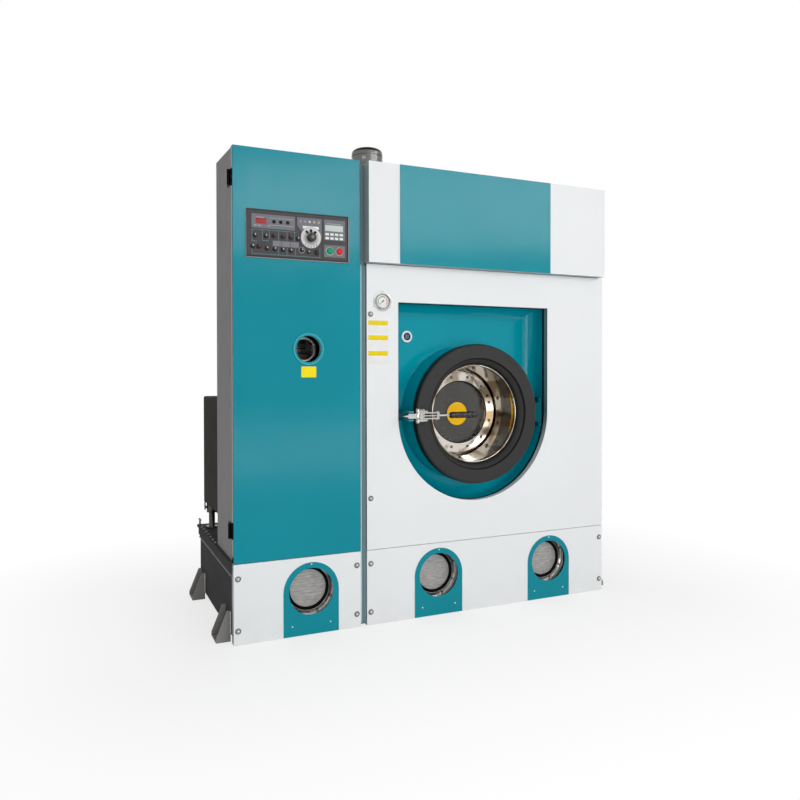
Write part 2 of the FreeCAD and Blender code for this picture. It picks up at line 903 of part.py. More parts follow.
def column_solid(inset):
    """Column with its roof rising to the rear, smaller all round by inset."""
    piece = Piece("column_solid", ("column_x + " + inset, "frame_y", "0"))
    front, rear = inset, "column_end_y - frame_y - " + inset
    low, high = "lid_top + " + inset, "column_top - column_top_drop - " + inset
    piece.pad("YZ_Plane", [[
        (front, low), (rear, low), (rear, high + " + column_roof_rise"), (front, high),
    ]], "column_width - 2 * " + inset)
    return piece.body


def make_column_shell():
    """Folded column with an open front."""
    mouth = box(
        ("column_x + column_lip", "frame_y - overcut", "lid_top + column_lip"),
        ("column_end_x - column_lip", "frame_y + sheet + overcut",
         "column_top - column_top_drop - column_lip"),
    )
    node("column_shell", cut(column_solid("0"), column_solid("sheet"), mouth))


def hinge_levels():
    return ("kick_height + hinge_low_rise", "kick_height + hinge_high_rise")


def make_column_hinges():
    """Leaf, two outer knuckles and the riveted pin of each hinge, on the column's side."""
    third = "hinge_height / 3"
    fixed, moving = [], []
    for low in hinge_levels():
        axis = ("column_hinge_x", "column_hinge_y")
        face = "column_x - hinge_leaf"
        clear = "column_hinge_y + hinge_barrel_radius + gap"
        leaf = box((face, clear, low), ("column_x", "frame_y + fixed_leaf_width", low + " + hinge_height"))
        pieces = [leaf, cylinder("hinge_pin_radius", "hinge_height", axis + (low,))]
        for start in (low, "%s + 2 * %s" % (low, third)):
            pieces.append(cylinder("hinge_barrel_radius", third, axis + (start,)))
            end = "%s + %s" % (start, third)
            pieces.append(box((face, "column_hinge_y", start), ("column_x", clear, end)))
        fixed.append(fuse(*pieces))
        start = "%s + %s + gap" % (low, third)
        end = "%s + 2 * %s - gap" % (low, third)
        near = "column_hinge_y - hinge_barrel_radius - gap"
        knuckle = fuse(
            cylinder("hinge_barrel_radius", "%s - 2 * gap" % third, axis + (start,)),
            box((face, near, start), ("column_x", "column_hinge_y", end)),
            box((face, "front_y + panel_fold - door_leaf_width - hinge_leaf", low),
                ("column_x", near, low + " + hinge_height")),
        )
        moving.append(cut(knuckle, cylinder("hinge_pin_radius + pin_fit", third, axis + (start,))))
    node("column_hinges", group(*fixed))
    node("column_door_leaves", group(*moving))


def still_solid(wall):
    """Cylinder with two dished ends, smaller all round by the wall."""
    low = "still_z - still_length / 2"
    shapes = [cylinder("still_radius - " + wall, "still_length", ("still_x", "still_y", low))]
    for level in (low, "still_z + still_length / 2"):
        dish = doc.addObject("Part::Ellipsoid", "dish")
        bind(dish, Radius1="still_dish - " + wall, Radius2="still_radius - " + wall)
        shapes.append(place(dish, ("still_x", "still_y", level)))
    return fuse(*shapes)


def make_still_vessel():
    """Hollow still with its front sight nozzle and two wall brackets."""
    reach = "still_y - still_radius - still_nozzle_length"
    nozzle_at = ("still_x", reach, "still_z")
    length = "still_radius + still_nozzle_length"
    nozzle = cylinder("still_nozzle_radius", length, nozzle_at, "y")
    brackets = [
        box(("still_x - still_radius / 2", "still_y", "still_z + %s - still_dish" % step),
            ("still_x + still_radius / 2", "column_end_y - sheet", "still_z + %s + still_dish" % step))
        for step in ("-still_length / 3", "still_length / 3")
    ]
    bore = cylinder("still_nozzle_radius - 2 * still_wall", length, nozzle_at, "y")
    node("still_vessel", cut(fuse(still_solid("0"), nozzle, *brackets), still_solid("still_wall"), bore))


def make_column_door():
    piece = Piece("column_door", ("column_x", "front_y", "0"))
    folded_panel(piece, "column_width", "kick_height + panel_seam", "column_top", "column_door_depth")
    piece.drill("XZ_Plane", [(
        "column_sight_x", "column_sight_z",
        "column_sight_radius + column_sight_sleeve + gap",
    )])
    border = "control_border - overcut"
    piece.drill("XZ_Plane", [rectangle(
        "control_x + " + border, "control_low_z + " + border,
        "control_x + control_width - (%s)" % border, "control_top_z - (%s)" % border,
    )])
    piece.done()
    outer = box(
        ("column_x + sheet", "front_y + column_door_depth", "lid_top + sheet"),
        ("column_end_x - sheet", "frame_y - gap", "column_top - column_top_drop - sheet"),
    )
    inner = box(
        ("column_x + seal_width", "front_y", "lid_top + seal_width"),
        ("column_end_x - seal_width", "frame_y", "column_top - column_top_drop - seal_width"),
    )
    node("column_door_seal", cut(outer, inner))


def make_door_sight_ring():
    piece = Piece("door_sight_ring", ("still_x", "front_y", "column_sight_z"))
    sleeve = "column_sight_radius + column_sight_sleeve"
    rim = "column_sight_radius + column_sight_border"
    piece.revolve("XY_Plane", [[
        ("column_sight_radius", "-control_plate"), (rim, "-control_plate"), (rim, "0"),
        (sleeve, "0"), (sleeve, "control_border"), ("column_sight_radius", "control_border"),
    ]])
    piece.done()


def lamp_module():
    """Raised plate of the lamps, cut off aslant at its lower left, that runs down behind the dial."""
    piece = Piece("lamp_module", ("lamp_module_x", "control_face_y", "module_top_z"))
    floor = "selector_z - module_top_z"
    piece.pad("XZ_Plane", [[
        ("0", "0"), ("0", "-lamp_module_height"),
        ("lamp_slant_width", "-lamp_module_height - lamp_slant_height"), ("lamp_slant_width", floor),
        ("lamp_module_width", floor), ("lamp_module_width", "0"),
    ]], "module_proud")
    return piece.body


def make_control_panel():
    """Plate with raised modules on the door's front, its electronics case behind."""
    plate = box(("control_low_x", "control_face_y", "control_low_z"),
                ("control_end_x", "front_y", "control_top_z"))
    case = box(
        ("control_low_x + control_border", "front_y", "control_low_z + control_border"),
        ("control_end_x - control_border", "front_y + control_case_depth", "control_top_z - control_border"),
    )
    first_x = "control_low_x + module_margin"
    modules = (
        (first_x, "timer_module_width", "module_top_z", "timer_module_height"),
        ("key_module_x", "key_module_width", "module_top_z", "key_module_height"),
        ("key_module_x", "key_module_width", "push_module_top", "push_module_height"),
    )
    shapes = [plate, case, lamp_module()]
    for x, width, top, height in modules:
        shapes.append(box((x, "module_face_y", "%s - %s" % (top, height)),
                          ("%s + %s" % (x, width), "control_face_y", top)))
    holes = [
        cylinder("knob_shaft_radius + gap", "control_case_depth / 2",
                 ("selector_x", "control_face_y - overcut", "selector_z"), "y"),
        cylinder("dial_radius + gap", "module_proud", ("selector_x", "module_face_y", "selector_z"), "y"),
    ]
    collar_y = "module_face_y - push_collar_proud"
    for x in ("start_x", "stop_x"):
        shapes.append(cylinder("push_radius + push_collar", "push_collar_proud + module_proud",
                               (x, collar_y, "push_z"), "y"))
        holes.append(cylinder("push_radius + gap", "push_collar_proud + push_depth + push_travel * 2",
                              (x, collar_y, "push_z"), "y"))
    node("control_panel", cut(fuse(*shapes), *holes))


def make_selector():
    at = ("selector_x", "control_face_y", "selector_z")
    dial_at = ("selector_x", "control_face_y - dial_thickness", "selector_z")
    node("selector_dial", tube("dial_radius", "knob_shaft_radius + gap", "dial_thickness", dial_at, "y"))
    knob = Piece("selector_knob", at)
    face = "-(dial_thickness + gap)"
    knob.revolve("XY_Plane", [[
        ("0", face + " - knob_length"), ("knob_radius - knob_edge", face + " - knob_length"),
        ("knob_radius", face + " - knob_length + knob_edge"), ("knob_radius", face),
        ("knob_shaft_radius", face),
        ("knob_shaft_radius", "control_case_depth / 3"), ("0", "control_case_depth / 3"),
    ]])
    knob.pad("XZ_Plane", [rectangle("-knob_mark_half", "0", "knob_mark_half", "knob_radius")],
             "knob_mark_proud + knob_mark_bite",
             shift="dial_thickness + gap + knob_length - knob_mark_bite")
    knob.done()


def make_push_buttons():
    """Green and red push buttons, each a plain cap with a rounded edge."""
    top = "-(module_proud + push_collar_proud + push_proud)"
    for label, x in (("start_button", "start_x"), ("stop_button", "stop_x")):
        piece = Piece(label, (x, "control_face_y", "push_z"))
        piece.revolve("XY_Plane", [[
            ("0", top), ("push_radius - push_edge", top), ("push_radius", top + " + push_edge"),
            ("push_radius", "push_depth - push_collar_proud"), ("0", "push_depth - push_collar_proud"),
        ]])
        piece.done()


# Drum cabinet

def recess_solid(grow, low_y, high_y):
    """Solid U along the depth, for cutting."""
    side = "recess_half_width + " + grow
    depth = "(%s) - (%s)" % (high_y, low_y)
    return fuse(
        cylinder(side, depth, ("door_x", low_y, "door_rise"), "y"),
        box(("door_x - (%s)" % side, low_y, "door_rise"),
            ("door_x + " + side, high_y, "door_rise + recess_top_rise + " + grow)),
    )


def gap_strip():
    """Folded strip that covers the gap beside the column, tied to the cabinet's left wall."""
    fold_x = "strip_end_x - sheet"
    above = "lid_top + strip_clear"
    return [
        box(("strip_x", "strip_y", "strip_rise"), ("strip_end_x", "strip_y + sheet", "cabinet_top")),
        box((fold_x, "strip_y", "strip_rise"), ("strip_end_x", "frame_y - strip_clear", "cabinet_top")),
        box((fold_x, "strip_y", above), ("strip_end_x", "strip_tie_y", "cabinet_top")),
        box((fold_x, "strip_tie_y - sheet", above), ("cabinet_x + sheet", "strip_tie_y", "cabinet_top")),
    ]


def make_cabinet_shell():
    outer = box(("cabinet_x", "frame_y", "lid_top"), ("cabinet_end_x", "cabinet_end_y", "cabinet_top"))
    hollow = box(
        ("cabinet_x + sheet", "bulkhead_end_y", "lid_top - overcut"),
        ("cabinet_end_x - sheet", "cabinet_end_y + overcut", "fan_ceiling"),
    )
    mouth = recess_solid("bulkhead_margin", "frame_y - overcut", "bulkhead_end_y + overcut")
    hole = cylinder("fan_neck_radius", "sheet * 3", ("fan_axis_x", "fan_axis_y", "fan_ceiling - sheet"))
    gauge = cylinder("gauge_radius + gap", "bulkhead + 2 * overcut",
                     ("gauge_axis_x", "frame_y - overcut", "gauge_axis_z"), "y")
    node("cabinet_shell", fuse(cut(outer, hollow, mouth, hole, gauge), *gap_strip()))


def make_rear_cover():
    """Back sheet with two blocks of cooling slots."""
    piece = Piece("rear_cover", ("cabinet_x", "cabinet_end_y", "lid_top"))
    height = "cabinet_top - lid_top"
    piece.pad("XZ_Plane", [rectangle("0", "0", "cabinet_width", height)], "sheet", back=True)
    third = "cabinet_width / 3"
    for x in (third, "2 * " + third):
        slot = piece.pocket("XZ_Plane", [rectangle(
            "%s - louvre_length / 2" % x, "louvre_rise",
            "%s + louvre_length / 2" % x, "louvre_rise + louvre_height",
        )], "sheet * 2")
        piece.row(slot, "Z_Axis", "louvre_pitch * (louvre_count - 1)", "louvre_count")
    piece.done()


def make_front_panel():
    piece = Piece("front_panel", ("door_x", "front_y", "door_rise"))
    low_x, high_x = "-door_x_in_cabinet", "cabinet_width - door_x_in_cabinet"
    low_z, high_z = "kick_height + panel_seam - door_rise", "panel_top - door_rise"
    outer = rectangle(low_x, low_z, high_x, high_z)
    inner = rectangle(low_x + " + sheet", low_z + " + sheet", high_x + " - sheet", high_z + " - sheet")
    gauge = ("gauge_axis_x - door_x", "gauge_axis_z - door_rise", "gauge_radius + gap")
    piece.pad("XZ_Plane", [outer, recess_outline("0"), gauge], "sheet", back=True)
    piece.pad("XZ_Plane", [outer, inner], "panel_fold", back=True)
    piece.pad("XZ_Plane", [recess_outline("sheet"), recess_outline("0")], "panel_fold", back=True)
    piece.done()


def make_fascia():
    piece = Piece("fascia_panel", ("fascia_x", "fascia_y", "0"))
    folded_panel(piece, "fascia_width", "panel_top + panel_seam", "fascia_top", "fascia_proud + panel_fold")
    piece.done()
    node("fascia_insert", box(
        ("fascia_x + insert_x", "fascia_y - trim", "panel_top + panel_seam"),
        ("fascia_x + insert_x + insert_width", "fascia_y", "fascia_top"),
    ))


def make_door_surround():
    """Pressed pan of the recess with its flange and the round collar of the door."""
    start = "panel_fold + bulkhead"
    piece = Piece("door_surround", ("door_x", "front_y", "door_rise"))
    deep = "recess_depth + recess_sheet - (%s)" % start
    piece.pad("XZ_Plane", [recess_outline("recess_sheet")], deep, shift="-(%s)" % start, back=True)
    rear = value("recess_depth + recess_sheet")
    front = value(start)
    piece.round_edges("recess_corner + recess_sheet", lambda e: lies_at_y(e, rear))
    piece.shell("recess_sheet", lambda f: lies_at_y(f, front))
    piece.pocket("XZ_Plane", [("0", "0", "collar_radius - collar_wall")], "recess_sheet * 3",
                 shift="-(recess_depth - recess_sheet)")
    piece.pocket("XZ_Plane", [("-interlock_x", "interlock_rise", "interlock_radius + trim")],
                 "recess_sheet * 3", shift="-(recess_depth - recess_sheet)")
    collar = [("0", "0", "collar_radius"), ("0", "0", "collar_radius - collar_wall")]
    piece.pad("XZ_Plane", collar, "recess_depth + recess_sheet - collar_front",
              shift="-collar_front", back=True)
    piece.pad("XZ_Plane", [recess_outline("recess_flange"), recess_outline("recess_sheet / 2")],
              "recess_sheet", shift="-(%s)" % start, back=True)
    piece.done()


def make_door_gasket():
    node("door_gasket", tube(
        "collar_radius", "collar_radius - gasket_width", "collar_front - door_ring_rear - gap",
        ("door_x", "front_y + door_ring_rear + gap", "door_rise"), "y",
    ))


# Tub, drum and drive

def make_tub():
    """Fixed drum housing with the neck that meets the pan and its two floor saddles."""
    shell = cylinder("tub_radius", "tub_depth - tub_neck", ("door_x", "tub_face_y", "door_rise"), "y")
    neck = cylinder("collar_radius + tub_neck_wall", "tub_neck", ("door_x", "tub_y", "door_rise"), "y")
    hollow = cylinder("tub_radius - tub_wall", "tub_depth - tub_neck - 2 * tub_wall",
                      ("door_x", "tub_face_y + tub_wall", "door_rise"), "y")
    mouth = cylinder("collar_radius - collar_wall", "tub_neck + tub_wall * 3",
                     ("door_x", "tub_y - overcut", "door_rise"), "y")
    hub = cylinder("bearing_radius", "tub_wall * 3",
                   ("door_x", "tub_end_y - 2 * tub_wall", "door_rise"), "y")
    saddles = []
    middle = "(tub_face_y + tub_end_y) / 2"
    for step in ("-tub_saddle_pitch / 2", "tub_saddle_pitch / 2"):
        saddles.append(box(
            ("door_x + %s - tub_saddle_width / 2" % step, middle + " - tub_saddle_depth / 2", "lid_top"),
            ("door_x + %s + tub_saddle_width / 2" % step, middle + " + tub_saddle_depth / 2",
             "door_rise - tub_radius / 2"),
        ))
    node("tub", cut(fuse(shell, neck, *saddles), hollow, mouth, hub))


def make_bearings():
    piece = Piece("bearing_housing", ("door_x", "tub_end_y", "door_rise"))
    throat = "shaft_radius + bearing_shoulder"
    piece.revolve("XY_Plane", [[
        ("bearing_radius", "0"), ("housing_flange_radius", "0"), ("housing_flange_radius", "housing_flange"),
        ("housing_radius", "housing_flange"), ("housing_radius", "housing_length"),
        ("bearing_radius", "housing_length"), ("bearing_radius", "housing_length - bearing_width"),
        (throat, "housing_length - bearing_width"), (throat, "bearing_width"),
        ("bearing_radius", "bearing_width"),
    ]])
    piece.done()
    rings = [
        tube("bearing_radius", "shaft_radius + pin_fit", "bearing_width", ("door_x", y, "door_rise"), "y")
        for y in ("tub_end_y", "housing_end_y - bearing_width")
    ]
    node("drum_bearings", group(*rings))


def make_drum():
    """Perforated drum with three lifters, open at the front."""
    piece = Piece("drum", ("door_x", "drum_y", "door_rise"))
    depth = "(drum_end_y - drum_y)"
    inner = "drum_radius - drum_wall"
    piece.revolve("XY_Plane", [[
        ("drum_mouth_radius", "0"), ("drum_radius", "0"), ("drum_radius", depth),
        ("shaft_radius", depth), ("shaft_radius", depth + " - drum_wall"), (inner, depth + " - drum_wall"),
        (inner, "drum_wall"), ("drum_mouth_radius", "drum_wall"),
    ]])
    base = "-(drum_radius - drum_wall + lifter_bite)"
    lifter = piece.pad("XZ_Plane", [[
        ("-lifter_half_base", base), ("lifter_half_base", base),
        ("lifter_half_top", base + " + lifter_height"), ("-lifter_half_top", base + " + lifter_height"),
    ]], depth + " - 2 * drum_wall", shift="-drum_wall", back=True)
    piece.polar(lifter, "Y_Axis", "lifters")
    rows = int(value("drum_hole_rows"))
    pitch = depth + " / (drum_hole_rows + 1)"
    circles = [("%s * %d" % (pitch, n + 1), "0", "drum_hole_radius") for n in range(rows)]
    holes = piece.pocket("YZ_Plane", circles, "drum_radius + overcut")
    piece.polar(holes, "Y_Axis", "drum_hole_columns")
    piece.done()


def make_drum_shaft():
    piece = Piece("drum_shaft", ("door_x", "drum_end_y", "door_rise"))
    length = "(pulley_end_y - drum_end_y)"
    piece.revolve("XY_Plane", [[
        ("0", "-drum_wall"), ("shaft_radius", "-drum_wall"), ("shaft_radius", "0"),
        ("shaft_flange_radius", "0"), ("shaft_flange_radius", "shaft_flange"),
        ("shaft_radius", "shaft_flange"), ("shaft_radius", length), ("shaft_radius - shaft_step", length),
        ("shaft_radius - shaft_step", length + " + shaft_end"), ("0", length + " + shaft_end"),
    ]])
    piece.done()


def pulley_profile(seat, bore, hub, web):
    """Half section of a grooved pulley, from its bore to its two cheeks."""
    rim = "%s - pulley_rim" % seat
    low, high = "pulley_width / 2 - %s / 2" % web, "pulley_width / 2 + %s / 2" % web
    cheek = "%s + pulley_flange" % seat
    return [
        (bore, "0"), (hub, "0"), (hub, low), (rim, low), (rim, "0"), (cheek, "0"),
        (cheek, "pulley_cheek"), (seat, "pulley_cheek"), (seat, "pulley_width - pulley_cheek"),
        (cheek, "pulley_width - pulley_cheek"), (cheek, "pulley_width"), (rim, "pulley_width"),
        (rim, high), (hub, high), (hub, "pulley_width"), (bore, "pulley_width"),
    ]


def make_pulleys():
    big = Piece("drum_pulley", ("door_x", "pulley_y", "door_rise"))
    section = pulley_profile("pulley_radius", "shaft_radius", "pulley_hub_radius", "pulley_web")
    big.revolve("XY_Plane", [section])
    middle = "(pulley_hub_radius + pulley_radius - pulley_rim) / 2"
    hole = big.drill("XZ_Plane", [(middle, "0", "pulley_hole_radius")])
    big.polar(hole, "Y_Axis", "pulley_holes")
    big.done()
    small = Piece("motor_pulley", ("motor_axis_x", "pulley_y", "motor_axis_z"))
    cheek = "motor_pulley_radius + pulley_flange"
    small.revolve("XY_Plane", [[
        ("0", "-pulley_gap - motor_bell"), ("motor_shaft_radius", "-pulley_gap - motor_bell"),
        ("motor_shaft_radius", "0"), (cheek, "0"), (cheek, "pulley_cheek"),
        ("motor_pulley_radius", "pulley_cheek"), ("motor_pulley_radius", "pulley_width - pulley_cheek"),
        (cheek, "pulley_width - pulley_cheek"), (cheek, "pulley_width"), ("0", "pulley_width"),
    ]])
    small.done()


def belt_outline(depth):
    """Open belt loop in its own plane, drum axis at the origin and motor axis along +X."""
    big = "(pulley_radius + %s)" % depth
    small = "(motor_pulley_radius + %s)" % depth
    across, along = "cos(belt_lean)", "sin(belt_lean)"
    far = "belt_span + %s * %s" % (small, along)
    return [
        (big + " * " + along, big + " * " + across),
        (big + " * " + along, "-%s * %s" % (big, across), "0", "0"),
        (far, "-%s * %s" % (small, across)),
        (far, "%s * %s" % (small, across), "belt_span", "0"),
    ]


def make_drive_belt():
    piece = Piece("drive_belt", ("door_x", "pulley_y", "door_rise"))
    drop = Vector(value("motor_axis_x - door_x"), 0, value("motor_axis_z - door_rise"))
    piece.body.Placement.Rotation = Rotation(Vector(1, 0, 0), drop)
    loops = [belt_outline("gap + belt_thickness"), belt_outline("gap")]
    width = "pulley_width - 2 * pulley_cheek - 2 * gap"
    piece.pad("XZ_Plane", loops, width, shift="-(pulley_cheek + gap)", back=True)
    piece.done()


def make_drive_motor():
    """Foot-mounted motor with end bells, terminal box and two foot rails."""
    start = "motor_end_y - motor_length"
    piece = Piece("drive_motor", ("motor_axis_x", start, "motor_axis_z"))
    piece.revolve("XY_Plane", [[
        ("0", "0"), ("motor_radius - motor_bell / 2", "0"), ("motor_radius", "motor_bell"),
        ("motor_radius", "motor_length - motor_bell"),
        ("motor_radius - motor_bell / 2", "motor_length"), ("motor_shaft_radius + gap", "motor_length"),
        ("motor_shaft_radius + gap", "motor_length - motor_bell - gap"),
        ("0", "motor_length - motor_bell - gap"),
    ]])
    half = "motor_foot_width / 2"
    low = "(motor_length - motor_foot_depth) / 2"
    piece.pad("XY_Plane", [rectangle("-" + half, low, half, low + " + motor_foot_depth")],
              "motor_foot", shift="-motor_rise")
    for x in ("-motor_rail_reach", "motor_rail_reach - motor_foot"):
        piece.pad("XY_Plane", [rectangle(x, low, x + " + motor_foot", low + " + motor_foot_depth")],
                  "motor_rise", shift="-motor_rise")
    piece.pad("XY_Plane", [rectangle("-motor_box / 2", "motor_length / 2 - motor_box / 2",
                                     "motor_box / 2", "motor_length / 2 + motor_box / 2")],
              "motor_radius + motor_box_proud")
    piece.done()


# Air fan

def make_fan():
    low = ("fan_axis_x", "fan_axis_y", "fan_floor")
    drum = cylinder("fan_radius", "fan_height", low)
    spout = box(
        ("fan_axis_x", "fan_axis_y - fan_outlet_width / 2", "fan_floor"),
        ("fan_axis_x + fan_radius + fan_outlet_length", "fan_axis_y + fan_outlet_width / 2",
         "fan_floor + fan_outlet_height"),
    )
    hollow = cylinder("fan_radius - fan_wall", "fan_height - 2 * fan_wall",
                      ("fan_axis_x", "fan_axis_y", "fan_floor + fan_wall"))
    duct = box(
        ("fan_axis_x", "fan_axis_y - fan_outlet_width / 2 + fan_wall", "fan_floor + fan_wall"),
        ("fan_axis_x + fan_radius + fan_outlet_length + overcut",
         "fan_axis_y + fan_outlet_width / 2 - fan_wall", "fan_floor + fan_outlet_height - fan_wall"),
    )
    inlet = cylinder("fan_inlet_radius", "fan_wall * 3", ("fan_axis_x", "fan_axis_y", "fan_floor - fan_wall"))
    neck = cylinder("fan_neck_radius", "fan_wall * 3",
                    ("fan_axis_x", "fan_axis_y", "fan_ceiling - 2 * fan_wall"))
    node("fan_housing", cut(fuse(drum, spout), hollow, duct, inlet, neck))

    wheel = Piece("fan_impeller", ("fan_axis_x", "fan_axis_y", "impeller_floor"))
    back = "impeller_height - impeller_plate"
    top = "cabinet_top + fan_shaft_length - impeller_floor"
    wheel.revolve("XZ_Plane", [[
        ("0", back + " - impeller_boss"), ("impeller_hub_radius", back + " - impeller_boss"),
        ("impeller_boss_radius", back), ("impeller_radius", back), ("impeller_radius", "impeller_height"),
        ("fan_shaft_radius", "impeller_height"), ("fan_shaft_radius", top), ("0", top),
    ]])
    blade = wheel.pad("XY_Plane", [rectangle(
        "impeller_eye", "-impeller_blade / 2", "impeller_radius - impeller_blade_inset", "impeller_blade / 2",
    )], back)
    wheel.polar(blade, "Z_Axis", "impeller_blades")
    wheel.done()

    motor = Piece("fan_motor", ("fan_axis_x", "fan_axis_y", "cabinet_top"))
    bore = "fan_shaft_radius + gap"
    roof = "fan_base + fan_motor_height + cowl_height"
    brow = roof + " - cowl_round"
    groove = "fan_base + fan_motor_height + cowl_groove_rise"
    motor.revolve("XZ_Plane", [[
        (bore, "0"), ("fan_base_radius", "0"), ("fan_base_radius", "fan_base"),
        ("fan_motor_radius", "fan_base"), ("fan_motor_radius", "fan_base + fan_motor_height"),
        ("cowl_radius", "fan_base + fan_motor_height"), ("cowl_radius", groove),
        ("cowl_radius - cowl_groove", groove), ("cowl_radius - cowl_groove", groove + " + cowl_groove"),
        ("cowl_radius", groove + " + cowl_groove"), ("cowl_radius", brow),
        ("cowl_radius - cowl_round", roof, "cowl_radius - cowl_round", brow), ("0", roof),
        ("0", "fan_shaft_length + gap"), (bore, "fan_shaft_length + gap"),
    ]])
    motor.done()


# Behind the column

def make_rear_box():
    piece = Piece("rear_box", ("column_x", "column_end_y", "rear_box_z"))
    piece.pad("XY_Plane", [rectangle("0", "0", "rear_box_width", "rear_box_depth")], "rear_box_height")
    top = value("rear_box_height")
    piece.round_edges("rear_box_round", lambda e: abs(e.BoundBox.ZMin - top) < 1e-4)
    piece.shell("rear_box_wall", lambda f: f.BoundBox.ZMax < 1e-4)
    piece.done()


def make_solvent_pump():
    """Close-coupled pump lying along X: volute, ports, motor and foot."""
    shapes = [
        cylinder("pump_radius", "pump_volute_length", ("pump_axis_x", "pump_axis_y", "pump_axis_z"), "x"),
        cylinder("pump_motor_radius", "pump_motor_length",
                 ("pump_axis_x + pump_volute_length", "pump_axis_y", "pump_axis_z"), "x"),
        cylinder("pump_port_radius", "pump_radius * 2",
                 ("pump_axis_x + pump_volute_length / 2", "pump_axis_y", "pump_axis_z"), "y"),
    ]
    foot_x = "pump_axis_x + pump_volute_length"
    shapes.append(box(
        (foot_x, "pump_axis_y - pump_foot_half", "lid_top"),
        (foot_x + " + pump_motor_length", "pump_axis_y + pump_foot_half", "lid_top + pump_foot"),
    ))
    for step in ("pump_rail_inset", "pump_motor_length - pump_rail_inset - pump_rail"):
        shapes.append(box(
            (foot_x + " + " + step, "pump_axis_y - pump_rail_half", "lid_top"),
            (foot_x + " + %s + pump_rail" % step, "pump_axis_y + pump_rail_half", "pump_axis_z"),
        ))
    node("solvent_pump", fuse(*shapes))


def make_valve():
    """Drain pipe on the lid with a ball valve, its elbow into the rear box and the lever."""
    at = ("valve_axis_x", "valve_axis_y", "lid_top")
    shapes = [
        cylinder("valve_flange_radius", "valve_flange", at),
        cylinder("valve_pipe_radius", "valve_elbow_rise + valve_pipe_radius", at),
        cylinder("valve_pipe_radius", "valve_axis_y - (column_end_y + rear_box_depth)",
                 ("valve_axis_x", "column_end_y + rear_box_depth", "valve_elbow_z"), "y"),
        cylinder("valve_ball_radius", "valve_ball_radius * 2",
                 ("valve_axis_x", "valve_axis_y", "valve_z - valve_ball_radius")),
        cylinder("valve_stem_radius", "valve_stem_length", ("stem_end_x", "valve_axis_y", "valve_z"), "x"),
    ]
    node("valve_body", fuse(*shapes))
    start = "stem_end_x + handle_thickness"
    lever = fuse(
        cylinder("handle_hub_radius", "handle_thickness", ("stem_end_x", "valve_axis_y", "valve_z"), "x"),
        box(("stem_end_x", "valve_axis_y - handle_width / 2", "valve_z"),
            (start, "valve_axis_y + handle_width / 2", "valve_z + handle_length")),
    )
    bore = cylinder("valve_stem_radius + pin_fit", "handle_thickness * 3",
                    ("stem_end_x - handle_thickness", "valve_axis_y", "valve_z"), "x")
    node("valve_handle", cut(lever, bore))


# Gauge and interlock button

def make_gauge():
    at = ("gauge_axis_x", "front_y", "gauge_axis_z")
    case = Piece("gauge_case", at)
    rim = "gauge_radius + gauge_bezel"
    lens_y = "-(gauge_bezel_proud - gauge_lens_drop)"
    lens_seat = lens_y + " + gauge_lens"
    case.revolve("XY_Plane", [[
        ("0", "-(dial_floor + gauge_dial_depth / 2)"),
        ("needle_pin_radius", "-(dial_floor + gauge_dial_depth / 2)"), ("needle_pin_radius", "-dial_floor"),
        ("gauge_radius - gauge_bezel", "-dial_floor"), ("gauge_radius - gauge_bezel", lens_seat),
        ("gauge_radius", lens_seat), ("gauge_radius", "-gauge_bezel_proud"),
        (rim, "-gauge_bezel_proud"), (rim, "-gauge_flange"), ("gauge_flange_radius", "-gauge_flange"),
        ("gauge_flange_radius", "0"), ("gauge_radius", "0"), ("gauge_radius", "gauge_body_depth"),
        ("0", "gauge_body_depth"),
    ]])
    lug = case.pad("XZ_Plane", [("0", "gauge_lug_reach", "gauge_lug_radius")], "gauge_flange")
    case.polar(lug, "Y_Axis", "gauge_lugs")
    case.done()
    needle = Piece("gauge_needle", at)
    needle.body.Placement.Rotation = Rotation(Vector(0, 1, 0), -135)
    half = "needle_width / 2"
    face = "dial_floor + gap"
    needle.pad("XZ_Plane", [("0", "0", "needle_hub_radius"), ("0", "0", "needle_pin_radius + pin_fit")],
               "needle_thickness * 2", shift=face)
    needle.pad("XZ_Plane", [[
        ("-" + half, "needle_hub_radius - needle_root"), (half, "needle_hub_radius - needle_root"),
        ("needle_width / 6", "needle_length"), ("-needle_width / 6", "needle_length"),
    ]], "needle_thickness", shift=face)
    needle.pad("XZ_Plane", [rectangle(
        "-needle_tail_half", "-needle_tail", "needle_tail_half", "needle_root - needle_hub_radius",
    )], "needle_thickness", shift=face)
    needle.done()
    node("gauge_lens", cylinder(
        "gauge_radius", "gauge_lens", ("gauge_axis_x", "front_y + " + lens_y, "gauge_axis_z"), "y",
    ))


def make_interlock():
    at = ("door_x - interlock_x", "recess_end_y", "door_rise + interlock_rise")
    bezel = Piece("button_bezel", at)
    bore = "interlock_radius + gap"
    rim = "interlock_radius + interlock_border"
    neck = "interlock_radius + trim - gap"
    bezel.revolve("XY_Plane", [[
        (bore, "-interlock_proud"), (rim + " - interlock_chamfer", "-interlock_proud"),
        (rim, "interlock_chamfer - interlock_proud"), (rim, "0"), (neck, "0"), (neck, "recess_sheet"),
        (bore, "recess_sheet"),
    ]])
    bezel.done()
    button = Piece("interlock_button", at)
    top = "-(interlock_proud - interlock_drop)"
    button.revolve("XY_Plane", [[
        ("0", top), ("interlock_radius - interlock_edge", top),
        ("interlock_radius", top + " + interlock_edge"),
        ("interlock_radius", "interlock_depth - interlock_proud"), ("0", "interlock_depth - interlock_proud"),
    ]])
    button.done()


# Loading door

